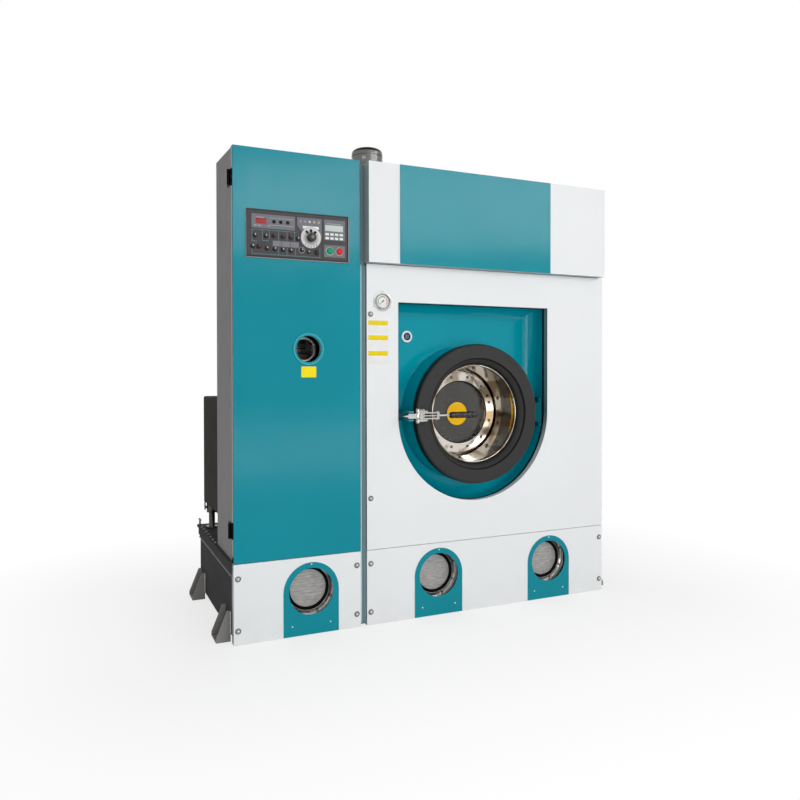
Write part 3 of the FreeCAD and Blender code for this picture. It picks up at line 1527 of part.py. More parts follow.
def make_loading_door():
    at = ("door_x", "front_y", "door_rise")
    ring = Piece("door_ring", at)
    face, rear = "-door_ring_front", "door_ring_rear"
    ledge = "door_ring_step - door_ring_front"
    bowl_flange = "door_ring_radius - door_ring_rim"
    ring.revolve("XY_Plane", [[
        ("door_ring_radius", rear), ("door_ring_radius", face + " + door_ring_chamfer"),
        ("door_ring_radius - door_ring_chamfer", face), ("ring_step_radius", face),
        ("ring_step_radius", ledge), ("ring_step_radius - door_ring_ledge", ledge),
        ("bowl_radius + bowl_reveal", "bowl_seat"),
        (bowl_flange, "bowl_seat"), (bowl_flange, rear),
    ]])
    ring.done()

    bowl = Piece("door_bowl", at)
    lip = bowl_flange + " - gap"
    bowl.revolve("XY_Plane", [[
        (lip, "bowl_seat"), ("bowl_radius", "bowl_seat"), ("bowl_end_radius", "bowl_end"),
        ("bowl_hole_radius", "bowl_end"), ("bowl_hole_radius", "bowl_end + bowl_wall"),
        ("bowl_end_radius + bowl_wall", "bowl_end + bowl_wall"),
        ("bowl_radius + bowl_wall", "bowl_seat + bowl_wall"), (lip, "bowl_seat + bowl_wall"),
    ]])
    bowl.done()

    node("window_glass", cylinder("glass_radius", "window_thickness",
                                  ("door_x", "front_y + glass_front", "door_rise"), "y"))
    clamp = Piece("window_flange", at)
    outer = "window_radius + window_ring_width"
    front = "glass_front - window_ring_thickness"
    clamp.revolve("XY_Plane", [[
        ("window_radius", front), (outer, front), (outer, "bowl_end"),
        ("glass_radius + gap", "bowl_end"), ("glass_radius + gap", "glass_front"),
        ("window_radius", "glass_front"),
    ]])
    clamp.done()


def make_door_hinge():
    """Barrel and arm on the door's ring, two lugs on the collar and the pin."""
    half = "door_barrel_half"
    ring = cylinder("door_ring_radius", "door_ring_rear * 4",
                    ("door_x", "front_y - door_ring_rear * 2", "door_rise"), "y")
    barrel = cylinder("door_barrel_radius", "2 * " + half, ("hinge_x", "hinge_y", "door_rise - " + half))
    arm = box(
        ("door_x + door_ring_radius - door_arm_bite", "hinge_y - door_arm_half_depth", "door_rise - " + half),
        ("hinge_x", "hinge_y + door_arm_half_depth", "door_rise + " + half),
    )
    bore = cylinder("door_pin_radius + pin_fit", "2 * " + half, ("hinge_x", "hinge_y", "door_rise - " + half))
    node("door_hinge_arm", cut(fuse(barrel, arm), ring, bore))

    collar = cylinder("collar_radius", "recess_depth", ("door_x", "front_y", "door_rise"), "y")
    lugs = []
    start_y = "front_y + collar_front + door_lug_setback"
    for low in ("door_rise + door_barrel_half + gap", "door_rise - door_barrel_half - gap - door_lug_height"):
        high = low + " + door_lug_height"
        body = fuse(
            cylinder("door_barrel_radius", "door_lug_height", ("hinge_x", "hinge_y", low)),
            box(("hinge_x - door_barrel_radius", "hinge_y", low),
                ("hinge_x + door_barrel_radius", start_y, high)),
            box(("door_x + collar_radius - collar_bite", start_y, low),
                ("hinge_x + door_barrel_radius", start_y + " + door_lug_depth", high)),
        )
        bore = cylinder("door_pin_radius", "door_lug_height", ("hinge_x", "hinge_y", low))
        lugs.append(cut(body, collar, bore))
    node("door_hinge_bracket", group(*lugs))
    low = "door_rise - door_barrel_half - gap - door_lug_height"
    node("door_hinge_pin", cylinder("door_pin_radius", "2 * (door_barrel_half + gap + door_lug_height)",
                                    ("hinge_x", "hinge_y", low)))


def make_clamp():
    """Lever clamp: bracket with its pin on the ring, swinging lever, grip and guide keeper."""
    pin_low = "door_rise - clamp_ear_half_gap - clamp_ear - clamp_nut_height"
    shapes = [
        box(("clamp_base_x", "clamp_base_y - clamp_base_thickness", "door_rise - clamp_base_half_height"),
            ("clamp_base_x + clamp_base_length", "clamp_base_y", "door_rise + clamp_base_half_height")),
        cylinder("clamp_pin_radius", "2 * (clamp_ear_half_gap + clamp_ear + clamp_nut_height)",
                 ("clamp_x", "clamp_y", pin_low)),
    ]
    for low in ("door_rise + clamp_ear_half_gap", "door_rise - clamp_ear_half_gap - clamp_ear"):
        shapes.append(box(
            ("clamp_x", "clamp_y - clamp_ear_end", low),
            ("clamp_base_x + clamp_base_length", "clamp_base_y", low + " + clamp_ear"),
        ))
        shapes.append(cylinder("clamp_ear_end", "clamp_ear", ("clamp_x", "clamp_y", low)))
    for low in ("door_rise + clamp_ear_half_gap + clamp_ear", pin_low):
        shapes.append(cylinder("clamp_nut_radius", "clamp_nut", ("clamp_x", "clamp_y", low)))
    node("clamp_bracket", fuse(*shapes))

    lever = Piece("clamp_lever", ("clamp_x", "clamp_y", "door_rise"))
    half = "clamp_ear_half_gap - 2 * gap"
    lever.pad("XY_Plane", [("0", "0", "clamp_hub_radius")], "2 * (%s)" % half, shift="-(%s)" % half)
    lever.pad("XY_Plane", [rectangle("-clamp_nose", "-clamp_nose_half_width", "0", "clamp_nose_half_width")],
              "2 * clamp_nose_half_height", shift="-clamp_nose_half_height")
    lever.pad("XZ_Plane", [[
        ("-clamp_nose", "-clamp_tip_half_height"), ("-clamp_nose", "clamp_tip_half_height"),
        ("-clamp_nose - clamp_tip", "0"),
    ]], "2 * clamp_nose_half_width", shift="-clamp_nose_half_width")
    lever.pad("XY_Plane", [rectangle("0", "-clamp_root_half_depth", "clamp_root", "clamp_root_half_depth")],
              "2 * (clamp_arm + arm_gap)", shift="-(clamp_arm + arm_gap)")
    arm = rectangle("arm_start", "-clamp_arm_half_depth", "arm_end", "clamp_arm_half_depth")
    lever.pad("XY_Plane", [arm], "clamp_arm", shift="arm_gap")
    lever.pad("XY_Plane", [arm], "clamp_arm", shift="-(arm_gap + clamp_arm)")
    lever.pad("XY_Plane", [arm], "2 * clamp_bar_half", shift="-clamp_bar_half")
    lever.pad("XY_Plane", [rectangle("arm_end - clamp_block", "-clamp_block_half_depth",
                                     "arm_end", "clamp_block_half_depth")],
              "2 * (clamp_arm + arm_gap)", shift="-(clamp_arm + arm_gap)")
    lever.pad("YZ_Plane", [("0", "0", "clamp_rod_radius")], "clamp_rod_length",
              shift="arm_end - clamp_rod_bite")
    lever.drill("XY_Plane", [("0", "0", "clamp_pin_radius + pin_fit")])
    lever.done()

    grip = Piece("clamp_grip", ("clamp_x + rod_end - grip_length + clamp_block", "clamp_y", "door_rise"))
    grip.body.Placement.Rotation = Rotation(Vector(0, 0, 1), -90)
    ribs = int(value("grip_ribs"))
    pitch = "((grip_length - grip_body) / grip_ribs)"
    bore_end = "grip_length - clamp_block - clamp_rod_bite"
    outline = [
        ("0", "grip_length"), ("0", bore_end), ("clamp_rod_radius", bore_end), ("clamp_rod_radius", "0"),
        ("grip_waist", "0"),
    ]
    starts = ["0"] + ["grip_body + %s * %d" % (pitch, rib) for rib in range(ribs)]
    for start, end in zip(starts, starts[1:] + ["grip_length"]):
        outline.append(("grip_radius", start + " + grip_rib_slope"))
        outline.append(("grip_radius", end + " - grip_rib_slope"))
        outline.append(("grip_waist", end))
    grip.revolve("XY_Plane", [outline])
    grip.done()

    collar = cylinder("collar_radius", "recess_depth", ("door_x", "front_y", "door_rise"), "y")
    far_x = "keeper_x - keeper_width"
    base_y = "keeper_end_y - keeper_base_depth"
    cheeks = []
    for low in ("door_rise + keeper_slot_half", "door_rise - keeper_slot_half - keeper_cheek"):
        cheeks.append(box((far_x, "front_y - keeper_front", low),
                          ("keeper_x", "keeper_end_y", low + " + keeper_cheek")))
    bridge = box(
        (far_x, base_y, "door_rise - keeper_slot_half - keeper_cheek"),
        ("door_x - collar_radius + collar_bite", "keeper_end_y",
         "door_rise + keeper_slot_half + keeper_cheek"),
    )
    node("clamp_keeper", cut(fuse(bridge, *cheeks), collar))


def export_parts():
    """Stops on any failed object, then writes one STEP file for each sub-part."""
    doc.recompute()
    failed = [
        "%s in %s" % (o.Name, ", ".join(p.Label for p in o.InListRecursive if p in nodes))
        for o in doc.Objects if "Invalid" in o.State or "Error" in o.State
    ]
    if failed:
        raise RuntimeError("failed objects: " + ", ".join(failed))
    for obj in nodes:
        if obj.Shape.isNull() or not obj.Shape.isValid() or not obj.Shape.Solids:
            raise RuntimeError("bad shape: " + obj.Label)
    os.makedirs("parts", exist_ok=True)
    for obj in nodes:
        obj.Shape.exportStep("parts/%s.step" % obj.Label)


fill_sheet()
make_base_tank()
make_tank_feet()
make_tank_lid()
make_kick_panel("kick_panel_left", "column_x", "column_width", (-1,))
make_kick_panel("kick_panel_right", "cabinet_x", "cabinet_width", (0, 1))
make_sight_windows()
make_panel_bolts()
make_column_shell()
make_column_hinges()
make_still_vessel()
make_column_door()
make_door_sight_ring()
make_control_panel()
make_selector()
make_push_buttons()
make_cabinet_shell()
make_rear_cover()
make_front_panel()
make_fascia()
make_door_surround()
make_door_gasket()
make_tub()
make_bearings()
make_drum()
make_drum_shaft()
make_pulleys()
make_drive_belt()
make_drive_motor()
make_fan()
make_rear_box()
make_solvent_pump()
make_valve()
make_gauge()
make_interlock()
make_loading_door()
make_door_hinge()
make_clamp()
export_parts()
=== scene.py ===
"""Looks of the dry-cleaning machine: finishes, fittings and small pieces round the CAD frame.

Places are metres in the CAD frame: +Z up, +X to the operator's right, the operator at -Y.
Radii, heights and rounded edges of small pieces are millimetres, scaled where a mesh is made.
"""
import json
import math
import random

import bmesh
import bpy
from mathutils import Matrix, Vector


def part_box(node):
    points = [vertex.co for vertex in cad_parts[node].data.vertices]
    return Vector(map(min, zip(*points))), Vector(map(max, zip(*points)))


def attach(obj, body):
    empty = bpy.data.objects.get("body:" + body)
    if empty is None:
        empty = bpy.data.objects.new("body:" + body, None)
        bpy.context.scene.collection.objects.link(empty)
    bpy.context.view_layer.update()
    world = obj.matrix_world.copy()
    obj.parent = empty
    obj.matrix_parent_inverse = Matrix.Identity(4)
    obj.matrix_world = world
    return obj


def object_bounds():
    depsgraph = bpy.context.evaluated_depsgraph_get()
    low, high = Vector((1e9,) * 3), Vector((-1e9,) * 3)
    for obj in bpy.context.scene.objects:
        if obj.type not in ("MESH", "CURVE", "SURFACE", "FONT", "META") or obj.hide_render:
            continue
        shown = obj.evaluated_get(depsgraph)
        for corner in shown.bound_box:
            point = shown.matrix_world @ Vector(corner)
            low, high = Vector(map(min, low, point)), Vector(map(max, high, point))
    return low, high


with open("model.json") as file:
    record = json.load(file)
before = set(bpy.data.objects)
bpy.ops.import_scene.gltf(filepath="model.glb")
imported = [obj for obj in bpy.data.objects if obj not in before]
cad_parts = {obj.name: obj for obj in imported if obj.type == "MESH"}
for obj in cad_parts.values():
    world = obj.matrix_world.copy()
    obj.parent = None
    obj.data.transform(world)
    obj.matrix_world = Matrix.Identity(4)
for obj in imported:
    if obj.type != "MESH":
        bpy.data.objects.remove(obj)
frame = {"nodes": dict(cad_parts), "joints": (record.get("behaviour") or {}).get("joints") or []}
CAD_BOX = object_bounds()
MM = 0.001
MATERIALS = {}

# Camera of the photograph
CAMERA_PLACE = (-1.4493, -3.0029, 1.0392)
CAMERA_YAW, CAMERA_PITCH, CAMERA_ROLL = 23.205, -0.590, 0.095
CAMERA_LENS, CAMERA_SENSOR = 31.768, 36.0
CAMERA_SHIFT = (0.0349, -0.0254)

# Floor, surroundings and lights: name, place, target, size and power
FLOOR_WHITE_NEAR, FLOOR_WHITE_AT = 0.74, 1.2
WORLD_LIGHT = 0.42
LIGHTS = (
    ("key_light", (5.4, -4.6, 4.6), (0.1, -0.3, 0.7), (2.0, 2.0), 40),
    ("fill_light", (-1.6, -5.6, 0.7), (0.1, 0, 0.5), (2.6, 2.6), 108),
    ("band_light", (2.3, -5.6, 3.1), (0.2, -0.3, 1.5), (4.4, 1.1), 94),
    ("low_light", (0.7, -4.2, 0.3), (0.0, -0.3, 0.7), (2.2, 0.5), 8),
    ("back_light", (0.5, 4.2, 4.2), (0, 0, 1.0), (4.0, 4.0), 60),
)

# Directions used by fittings
FRONT = Vector((0, -1, 0))
BACK = Vector((0, 1, 0))
LEFT = Vector((-1, 0, 0))
RIGHT = Vector((1, 0, 0))
UP = Vector((0, 0, 1))


def srgb(red, green, blue):
    """Linear colour of an 8-bit screen colour."""
    def linear(value):
        value /= 255
        return value / 12.92 if value <= 0.04045 else ((value + 0.055) / 1.055) ** 2.4
    return (linear(red), linear(green), linear(blue), 1.0)


def middle(name):
    """Middle of a node's box."""
    low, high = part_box(name)
    return (low + high) / 2


# Materials

class Finish:
    """A node material in object coordinates, built round one Principled shader."""

    def __init__(self, name, colour, roughness, metallic=0.0, **sockets):
        self.material = bpy.data.materials.new(name)
        self.material.use_nodes = True
        self.tree = self.material.node_tree
        self.shader = self.tree.nodes["Principled BSDF"]
        self.colour = colour
        self.roughness = roughness
        sockets.update(Base_Color=colour, Roughness=roughness, Metallic=metallic)
        for socket, value in sockets.items():
            self.shader.inputs[socket.replace("_", " ")].default_value = value
        coordinates = self.node("TexCoord")
        self.place = coordinates.outputs["Object"]
        self.turn = coordinates.outputs["Normal"]
        self.normal = None

    def node(self, kind, inputs=(), **settings):
        """New node; an input takes a value, or the output that is linked to it."""
        node = self.tree.nodes.new("ShaderNode" + kind)
        for key, value in settings.items():
            setattr(node, key, value)
        for socket, value in dict(inputs).items():
            if isinstance(value, bpy.types.NodeSocket):
                self.link(value, node.inputs[socket])
            else:
                node.inputs[socket].default_value = value
        return node

    def link(self, source, target):
        self.tree.links.new(source, target)

    def compute(self, operation, *values):
        """Result of a math node."""
        return self.node("Math", enumerate(values), operation=operation).outputs[0]

    def split(self, vector, axis):
        """One component of a vector."""
        return self.node("SeparateXYZ", {"Vector": vector}).outputs[axis]

    def noise(self, scale, detail, stretch=(1, 1, 1)):
        """Noise field from 0 to 1, stretched along the axes."""
        mapping = self.node("Mapping", {"Scale": stretch, "Vector": self.place})
        field = {"Scale": scale, "Detail": detail, "Vector": mapping.outputs["Vector"]}
        return self.node("TexNoise", field).outputs["Fac"]

    def spread(self, field, low, high, start=0.3, end=0.7):
        """Field mapped to the values from low to high."""
        return self.node("MapRange", {
            "Value": field, "From Min": start, "From Max": end, "To Min": low, "To Max": high,
        }).outputs["Result"]

    def paint(self, field, colour):
        """Mixes a second colour over the base colour where the field is 1."""
        target = self.shader.inputs["Base Color"]
        under = target.links[0].from_socket if target.links else self.colour
        mix = self.node("Mix", {0: field, 6: under, 7: colour}, data_type="RGBA")
        self.link(mix.outputs[2], target)
        return self

    def mottle(self, amount, scale, stretch=(1, 1, 1)):
        """Slow uneven shade of the colour."""
        shade = tuple(c * (1 - amount) for c in self.colour[:3]) + (1.0,)
        return self.paint(self.spread(self.noise(scale, 4.0, stretch), 0.0, 1.0), shade)

    def rub(self, amount, scale, stretch=(1, 1, 1)):
        """Uneven gloss."""
        low, high = max(0.02, self.roughness - amount), min(1.0, self.roughness + amount)
        field = self.spread(self.noise(scale, 5.0, stretch), low, high)
        self.link(field, self.shader.inputs["Roughness"])
        return self

    def bump(self, scale, strength, distance, stretch=(1, 1, 1), detail=2.0):
        """Fine relief."""
        return self.relief(self.noise(scale, detail, stretch), strength, distance)

    def relief(self, field, strength, distance):
        """Relief after a height field, over any earlier relief."""
        inputs = {"Strength": strength, "Distance": distance, "Height": field}
        if self.normal:
            inputs["Normal"] = self.normal
        self.normal = self.node("Bump", inputs).outputs["Normal"]
        self.link(self.normal, self.shader.inputs["Normal"])
        return self

    def dust(self, height, colour, amount):
        """Dirt that gathers towards the floor."""
        level = self.spread(self.split(self.place, "Z"), amount, 0.0, 0.0, height)
        patch = self.spread(self.noise(9.0, 6.0), 0.2, 1.0)
        return self.paint(self.compute("MULTIPLY", level, patch), colour)

    def facing(self, axis, level, test="GREATER_THAN"):
        """Mask of faces by the size of their normal along an axis: over the level, or under it."""
        return self.compute(test, self.compute("ABSOLUTE", self.split(self.turn, axis)), level)

    def towards(self, axis, start, end):
        """Mask of faces that look along an axis, from none at one share to full at another."""
        return self.spread(self.split(self.turn, axis), 0.0, 1.0, start, end)


def powder_coat(name, rgb, roughness, gloss):
    """Oven-baked paint: fine orange peel under a thin gloss."""
    finish = Finish(name, srgb(*rgb), roughness, Specular_IOR_Level=gloss)
    return finish.mottle(0.035, 2.2).rub(0.05, 14.0).bump(420.0, 0.05, 0.0004)


def white_panel(name, fold_shade):
    """White powder coat with painted shade: blue-grey on the folds and returns that look left or down, white
    again on those that look right or up.
    """
    finish = powder_coat(name, (230, 232, 233), 0.34, 0.06)
    finish.dust(0.16, srgb(200, 199, 195), 0.25)
    # Painted shade: folds and returns take the fold colour, then the loop paints those that look right or up
    # white again.
    finish.paint(finish.facing("Y", 0.5, "LESS_THAN"), srgb(*fold_shade))
    for axis in "XZ":
        finish.paint(finish.towards(axis, 0.0, 0.55), srgb(230, 233, 234))
    return finish


def gloss_teal(name, rgb):
    """High-gloss panel paint."""
    finish = Finish(name, srgb(*rgb), 0.14, Specular_IOR_Level=0.17)
    # Painted reflection: the slow mottle makes the gloss unevenly pale, standing in for reflected
    # surroundings.
    return finish.mottle(0.10, 1.6, (1, 1, 0.5)).rub(0.04, 10.0).bump(260.0, 0.03, 0.0004)


def column_door_paint():
    """Teal front of the column door with its dark folded sides."""
    finish = gloss_teal("column_door_teal", (0, 136, 152))
    return finish.paint(finish.facing("X", 0.5), srgb(20, 24, 25))


def polished_steel(name, shade, roughness, grain=(1, 1, 1)):
    """Polished stainless sheet with faint polishing lines."""
    finish = Finish(name, (shade, shade * 0.985, shade * 0.955, 1.0), roughness, 1.0)
    finish.mottle(0.10, 7.0).rub(roughness * 0.55, 18.0, grain)
    return finish.bump(180.0, 0.03, 0.0003, grain)


def bowl_steel():
    """Polished pressing with painted reflections: a warm tone, slow pale and dark waves and dark brown
    streaks, for the brown surroundings it mirrors.
    """
    finish = Finish("bowl_stainless", (0.76, 0.71, 0.64, 1.0), 0.12, 1.0)
    # Painted reflection: warm base colour and strong slow mottle.
    finish.mottle(0.30, 5.0, (1, 0.4, 1)).rub(0.05, 14.0, (6, 1, 6))
    # Painted reflection: dark brown streaks.
    painted_reflection_streak = finish.spread(finish.noise(11.0, 1.0, (1, 0.25, 1)), 0.0, 0.9, 0.46, 0.53)
    finish.paint(painted_reflection_streak, (0.30, 0.24, 0.17, 1.0))
    return finish.bump(9.0, 0.06, 0.003).bump(180.0, 0.02, 0.0003, (6, 1, 6))


def spun_cowl():
    """Dark spun steel, with a painted dark reflection on the faces that look up."""
    finish = polished_steel("spun_cowl", 0.15, 0.26, (1, 1, 60))
    # Painted reflection: faces that look up are nearly black.
    return finish.paint(finish.towards("Z", 0.12, 0.32), srgb(22, 22, 22))


def drum_steel():
    """Brushed sheet of the drum, worn smooth by the load."""
    finish = Finish("drum_stainless", (0.46, 0.44, 0.41, 1.0), 0.30, 1.0)
    return finish.mottle(0.25, 2.5).rub(0.05, 20.0, (1, 30, 1)).bump(300.0, 0.02, 0.0003, (1, 30, 1))


def plate_paint(name, rgb, roughness, gloss=0.1):
    """Brushed-on paint over hot-rolled plate, with scale showing through as slow waves."""
    finish = Finish(name, srgb(*rgb), roughness, Specular_IOR_Level=gloss)
    finish.mottle(0.06, 4.0).rub(0.06, 12.0)
    finish.bump(40.0, 0.03, 0.0010, detail=4.0).bump(520.0, 0.05, 0.0004)
    return finish.dust(0.12, srgb(120, 116, 110), 0.2)


def cast_paint(name, rgb):
    """Machine enamel over sand casting."""
    finish = Finish(name, srgb(*rgb), 0.42, Coat_Weight=0.25, Coat_Roughness=0.2)
    return finish.mottle(0.14, 16.0).rub(0.08, 30.0).bump(240.0, 0.25, 0.0009, detail=4.0)


def moulded(name, rgb, roughness, grain=0.10, gloss=0.08):
    """Moulded plastic with a fine spark-eroded texture."""
    finish = Finish(name, srgb(*rgb), roughness, Specular_IOR_Level=gloss)
    return finish.mottle(0.06, 40.0).rub(0.06, 80.0).bump(1400.0, grain, 0.0003)


def rubber(name, shade=26, gloss=0.2):
    """Dull black rubber."""
    finish = Finish(name, srgb(shade, shade, shade), 0.62, Specular_IOR_Level=gloss)
    return finish.mottle(0.2, 30.0).rub(0.1, 60.0).bump(700.0, 0.15, 0.0004)


def dial_face():
    """Silvered disc, darker towards the knob."""
    finish = Finish("brushed_dial", srgb(214, 214, 213), 0.34, Specular_IOR_Level=0.08)
    finish.mottle(0.12, 60.0, (12, 1, 1))
    reach = finish.node("VectorMath", {0: finish.place, 1: middle("selector_dial")}, operation="DISTANCE")
    inner = finish.spread(reach.outputs["Value"], 1.0, 0.0, 14 * MM, 36 * MM)
    return finish.paint(inner, srgb(112, 112, 112)).bump(240.0, 0.04, 0.0003, (12, 1, 1))


def brass():
    """Tarnished pipe brass."""
    finish = Finish("pipe_brass", srgb(84, 82, 78), 0.40, 1.0)
    return finish.mottle(0.25, 20.0).rub(0.12, 35.0).bump(160.0, 0.08, 0.0005)


def coated_ring():
    """Charcoal textured coating of the door ring, with painted shade on its sides."""
    finish = Finish("charcoal_coating", srgb(42, 41, 41), 0.5, Specular_IOR_Level=0.25)
    finish.mottle(0.12, 14.0).rub(0.07, 24.0)
    # Painted shade: side walls that look across the door are near black.
    finish.paint(finish.facing("Y", 0.6, "LESS_THAN"), srgb(12, 12, 12))
    return finish.bump(900.0, 0.22, 0.0005, detail=4.0)


def control_face():
    """Dark panel whose raised modules are a paler grey."""
    finish = Finish("control_panel_face", srgb(80, 78, 79), 0.42, Specular_IOR_Level=0.06)
    finish.mottle(0.10, 30.0).rub(0.06, 60.0)
    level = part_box("selector_dial")[1].y - 1.0 * MM
    raised = finish.compute("LESS_THAN", finish.split(finish.place, "Y"), level)
    return finish.paint(raised, srgb(118, 118, 124)).bump(900.0, 0.12, 0.0003)


def clear_glass(name, tint, roughness, bend, shade, scale):
    """Glass with a slight uneven tint."""
    finish = Finish(name, (*tint, 1.0), roughness, Transmission_Weight=1.0, IOR=bend)
    return finish.mottle(shade, scale)


def ribbed_glass():
    """Tank window: pale solvent mist behind glass with shallow level ribs."""
    finish = Finish("tank_window_glass", srgb(190, 188, 185), 0.2, Transmission_Weight=0.15, IOR=1.5)
    finish.mottle(0.34, 34.0, (1, 1, 3.0))
    ribs = {"Scale": 26.0, "Distortion": 4.0, "Vector": finish.place}
    wave = finish.node("TexWave", ribs, bands_direction="Z").outputs["Fac"]
    finish.paint(finish.spread(wave, 0.0, 0.22, 0.3, 1.0), srgb(120, 118, 115))
    return finish.relief(wave, 0.15, 0.0015)


def weld_metal():
    """Painted weld bead."""
    finish = Finish("painted_weld", srgb(206, 204, 200), 0.36)
    return finish.mottle(0.3, 60.0).rub(0.1, 80.0).bump(300.0, 0.3, 0.0008)


# Finishes by maker and short name, with what the maker takes
FINISHES = {
    white_panel: {
        # Painted shade: the second value is the colour of the folds and returns that look left or down.
        "white": ("white_powder_coat", (158, 168, 171)),
        "white_front": ("white_front_coat", (112, 138, 138)),
    },
    gloss_teal: {
        "teal": ("teal_gloss", (0, 136, 151)),
        # Painted light: the pan's teal is written paler than the door's, to offset the shade of the recess.
        "paler_teal_pan": ("teal_pressed_pan", (0, 153, 170)),
        # Painted highlight: pale teal for the bright line round the still's sight trim.
        "trim_highlight": ("sight_trim_edge", (92, 190, 200)),
        "sight_trim": ("sight_trim_teal", (30, 146, 158)),
    },
    powder_coat: {
        "column_grey": ("column_grey_paint", (143, 141, 141), 0.60, 0.06),
        "cabinet_grey": ("cabinet_blue_grey_paint", (104, 124, 130), 0.45, 0.10),
    },
    plate_paint: {
        "tank": ("tank_dark_paint", (66, 66, 66), 0.75, 0.03),
        "foot": ("foot_grey_paint", (134, 133, 131), 0.5),
        "band": ("tank_band_paint", (84, 84, 84), 0.70, 0.06),
        "rear_box": ("rear_box_paint", (66, 64, 60), 0.85, 0.03),
        "sludge": ("still_residue", (104, 86, 80), 0.6),
    },
    polished_steel: {
        "cap": ("cap_bolt_steel", 0.36, 0.30),
        "dark": ("blackened_steel", 0.14, 0.30),
        "dull": ("dull_stainless", 0.34, 0.30, (1, 1, 30)),
        "seat": ("window_seat_steel", 0.50, 0.24),
        "clamp": ("clamp_steel", 0.40, 0.20, (20, 1, 1)),
        "gauge_steel": ("gauge_case_steel", 0.40, 0.30),
        "chrome": ("bright_chrome", 0.80, 0.06),
        "ground": ("ground_steel", 0.55, 0.28, (1, 20, 1)),
        "aluminium": ("cast_aluminium", 0.55, 0.4),
    },
    cast_paint: {
        "cast": ("cast_grey_enamel", (105, 106, 109)),
        "motor": ("motor_enamel", (92, 96, 99)),
        # Painted reflection: teal enamel on the clamp's steel keeper, for the teal pan it mirrors.
        "teal_cast": ("teal_cast_enamel", (0, 118, 130)),
    },
    rubber: {
        "rubber": ("black_rubber",),
        "gasket": ("window_gasket_rubber", 9, 0.04),
        "belt": ("belt_rubber",),
    },
    moulded: {
        "blue": ("blue_dipped_lever", (22, 78, 150), 0.3),
        "black": ("black_moulding", (26, 26, 27), 0.34),
        "grip": ("grip_black_plastic", (20, 20, 21), 0.26, 0.04, 0.5),
        "cap_grey": ("switch_cap_grey", (40, 39, 40), 0.34, 0.06, 0.2),
        "cap_spot": ("knob_cap_grey", (128, 122, 121), 0.34, 0.06),
        "hinge": ("hinge_black_paint", (12, 12, 12), 0.5, 0.10, 0.03),
        # Painted shade: darker teal so the door hinge matches the shaded wall of the recess.
        "hinge_shade_teal": ("hinge_teal_paint", (0, 84, 94), 0.6, 0.10, 0.03),
        # Painted highlight: pale blue bead for the lit left edge of the gap strip.
        "highlight_bead": ("pale_sealant_bead", (168, 212, 218), 0.5, 0.06),
        "grey_bead": ("grey_sealant_bead", (126, 150, 157), 0.6, 0.06),
        "module_key": ("pale_key", (228, 230, 229), 0.4),
        "green": ("green_button", (16, 150, 100), 0.22, 0.03),
        "red": ("red_button", (205, 45, 45), 0.22, 0.03),
        "red_window": ("red_display_window", (160, 62, 64), 0.16, 0.02),
        "mint": ("mint_button_rim", (196, 238, 228), 0.3, 0.03),
        "pink": ("pink_button_rim", (240, 194, 194), 0.3, 0.03),
        "knob": ("dark_grey_knob", (62, 60, 60), 0.42),
        "lcd": ("grey_green_display", (196, 208, 200), 0.2, 0.02),
        "amber": ("amber_lens", (188, 178, 166), 0.2, 0.03),
        "dim_lens": ("grey_lens", (166, 162, 172), 0.2, 0.03),
        "lens": ("pale_lens", (205, 203, 201), 0.18, 0.03),
        "line": ("pale_teal_line", (110, 158, 160), 0.5, 0.03),
        "pale_line": ("pale_grey_line", (176, 178, 180), 0.5, 0.03),
        "strip": ("pale_grey_strip", (128, 128, 134), 0.42),
        "yellow": ("yellow_film", (246, 190, 30), 0.32, 0.03),
        "lemon": ("lemon_film", (246, 224, 30), 0.32, 0.03),
        "label": ("white_film", (232, 232, 230), 0.35, 0.03),
        "label_head": ("yellow_band_film", (232, 205, 30), 0.35, 0.03),
        "dial_white": ("dial_card", (240, 240, 238), 0.5, 0.04),
        "dial_green": ("dial_green_band", (50, 128, 96), 0.5, 0.04),
        "dial_red": ("dial_red_band", (196, 110, 116), 0.5, 0.04),
        "bezel": ("white_bezel", (248, 250, 250), 0.24, 0.03),
        "button_blue": ("blue_grey_lens", (98, 114, 142), 0.25, 0.03),
    },
    clear_glass: {
        "window": ("door_window_glass", (0.88, 0.86, 0.80), 0.0, 1.5, 0.06, 4.0),
        "clear": ("gauge_lens_glass", (0.97, 0.98, 0.98), 0.02, 1.3, 0.02, 6.0),
    },
    column_door_paint: {"column_door": ()},
    bowl_steel: {"mirror": ()},
    spun_cowl: {"cowl": ()},
    drum_steel: {"drum": ()},
    dial_face: {"brushed": ()},
    brass: {"brass": ()},
    coated_ring: {"ring": ()},
    control_face: {"control": ()},
    ribbed_glass: {"sight": ()},
    weld_metal: {"weld": ()},
}

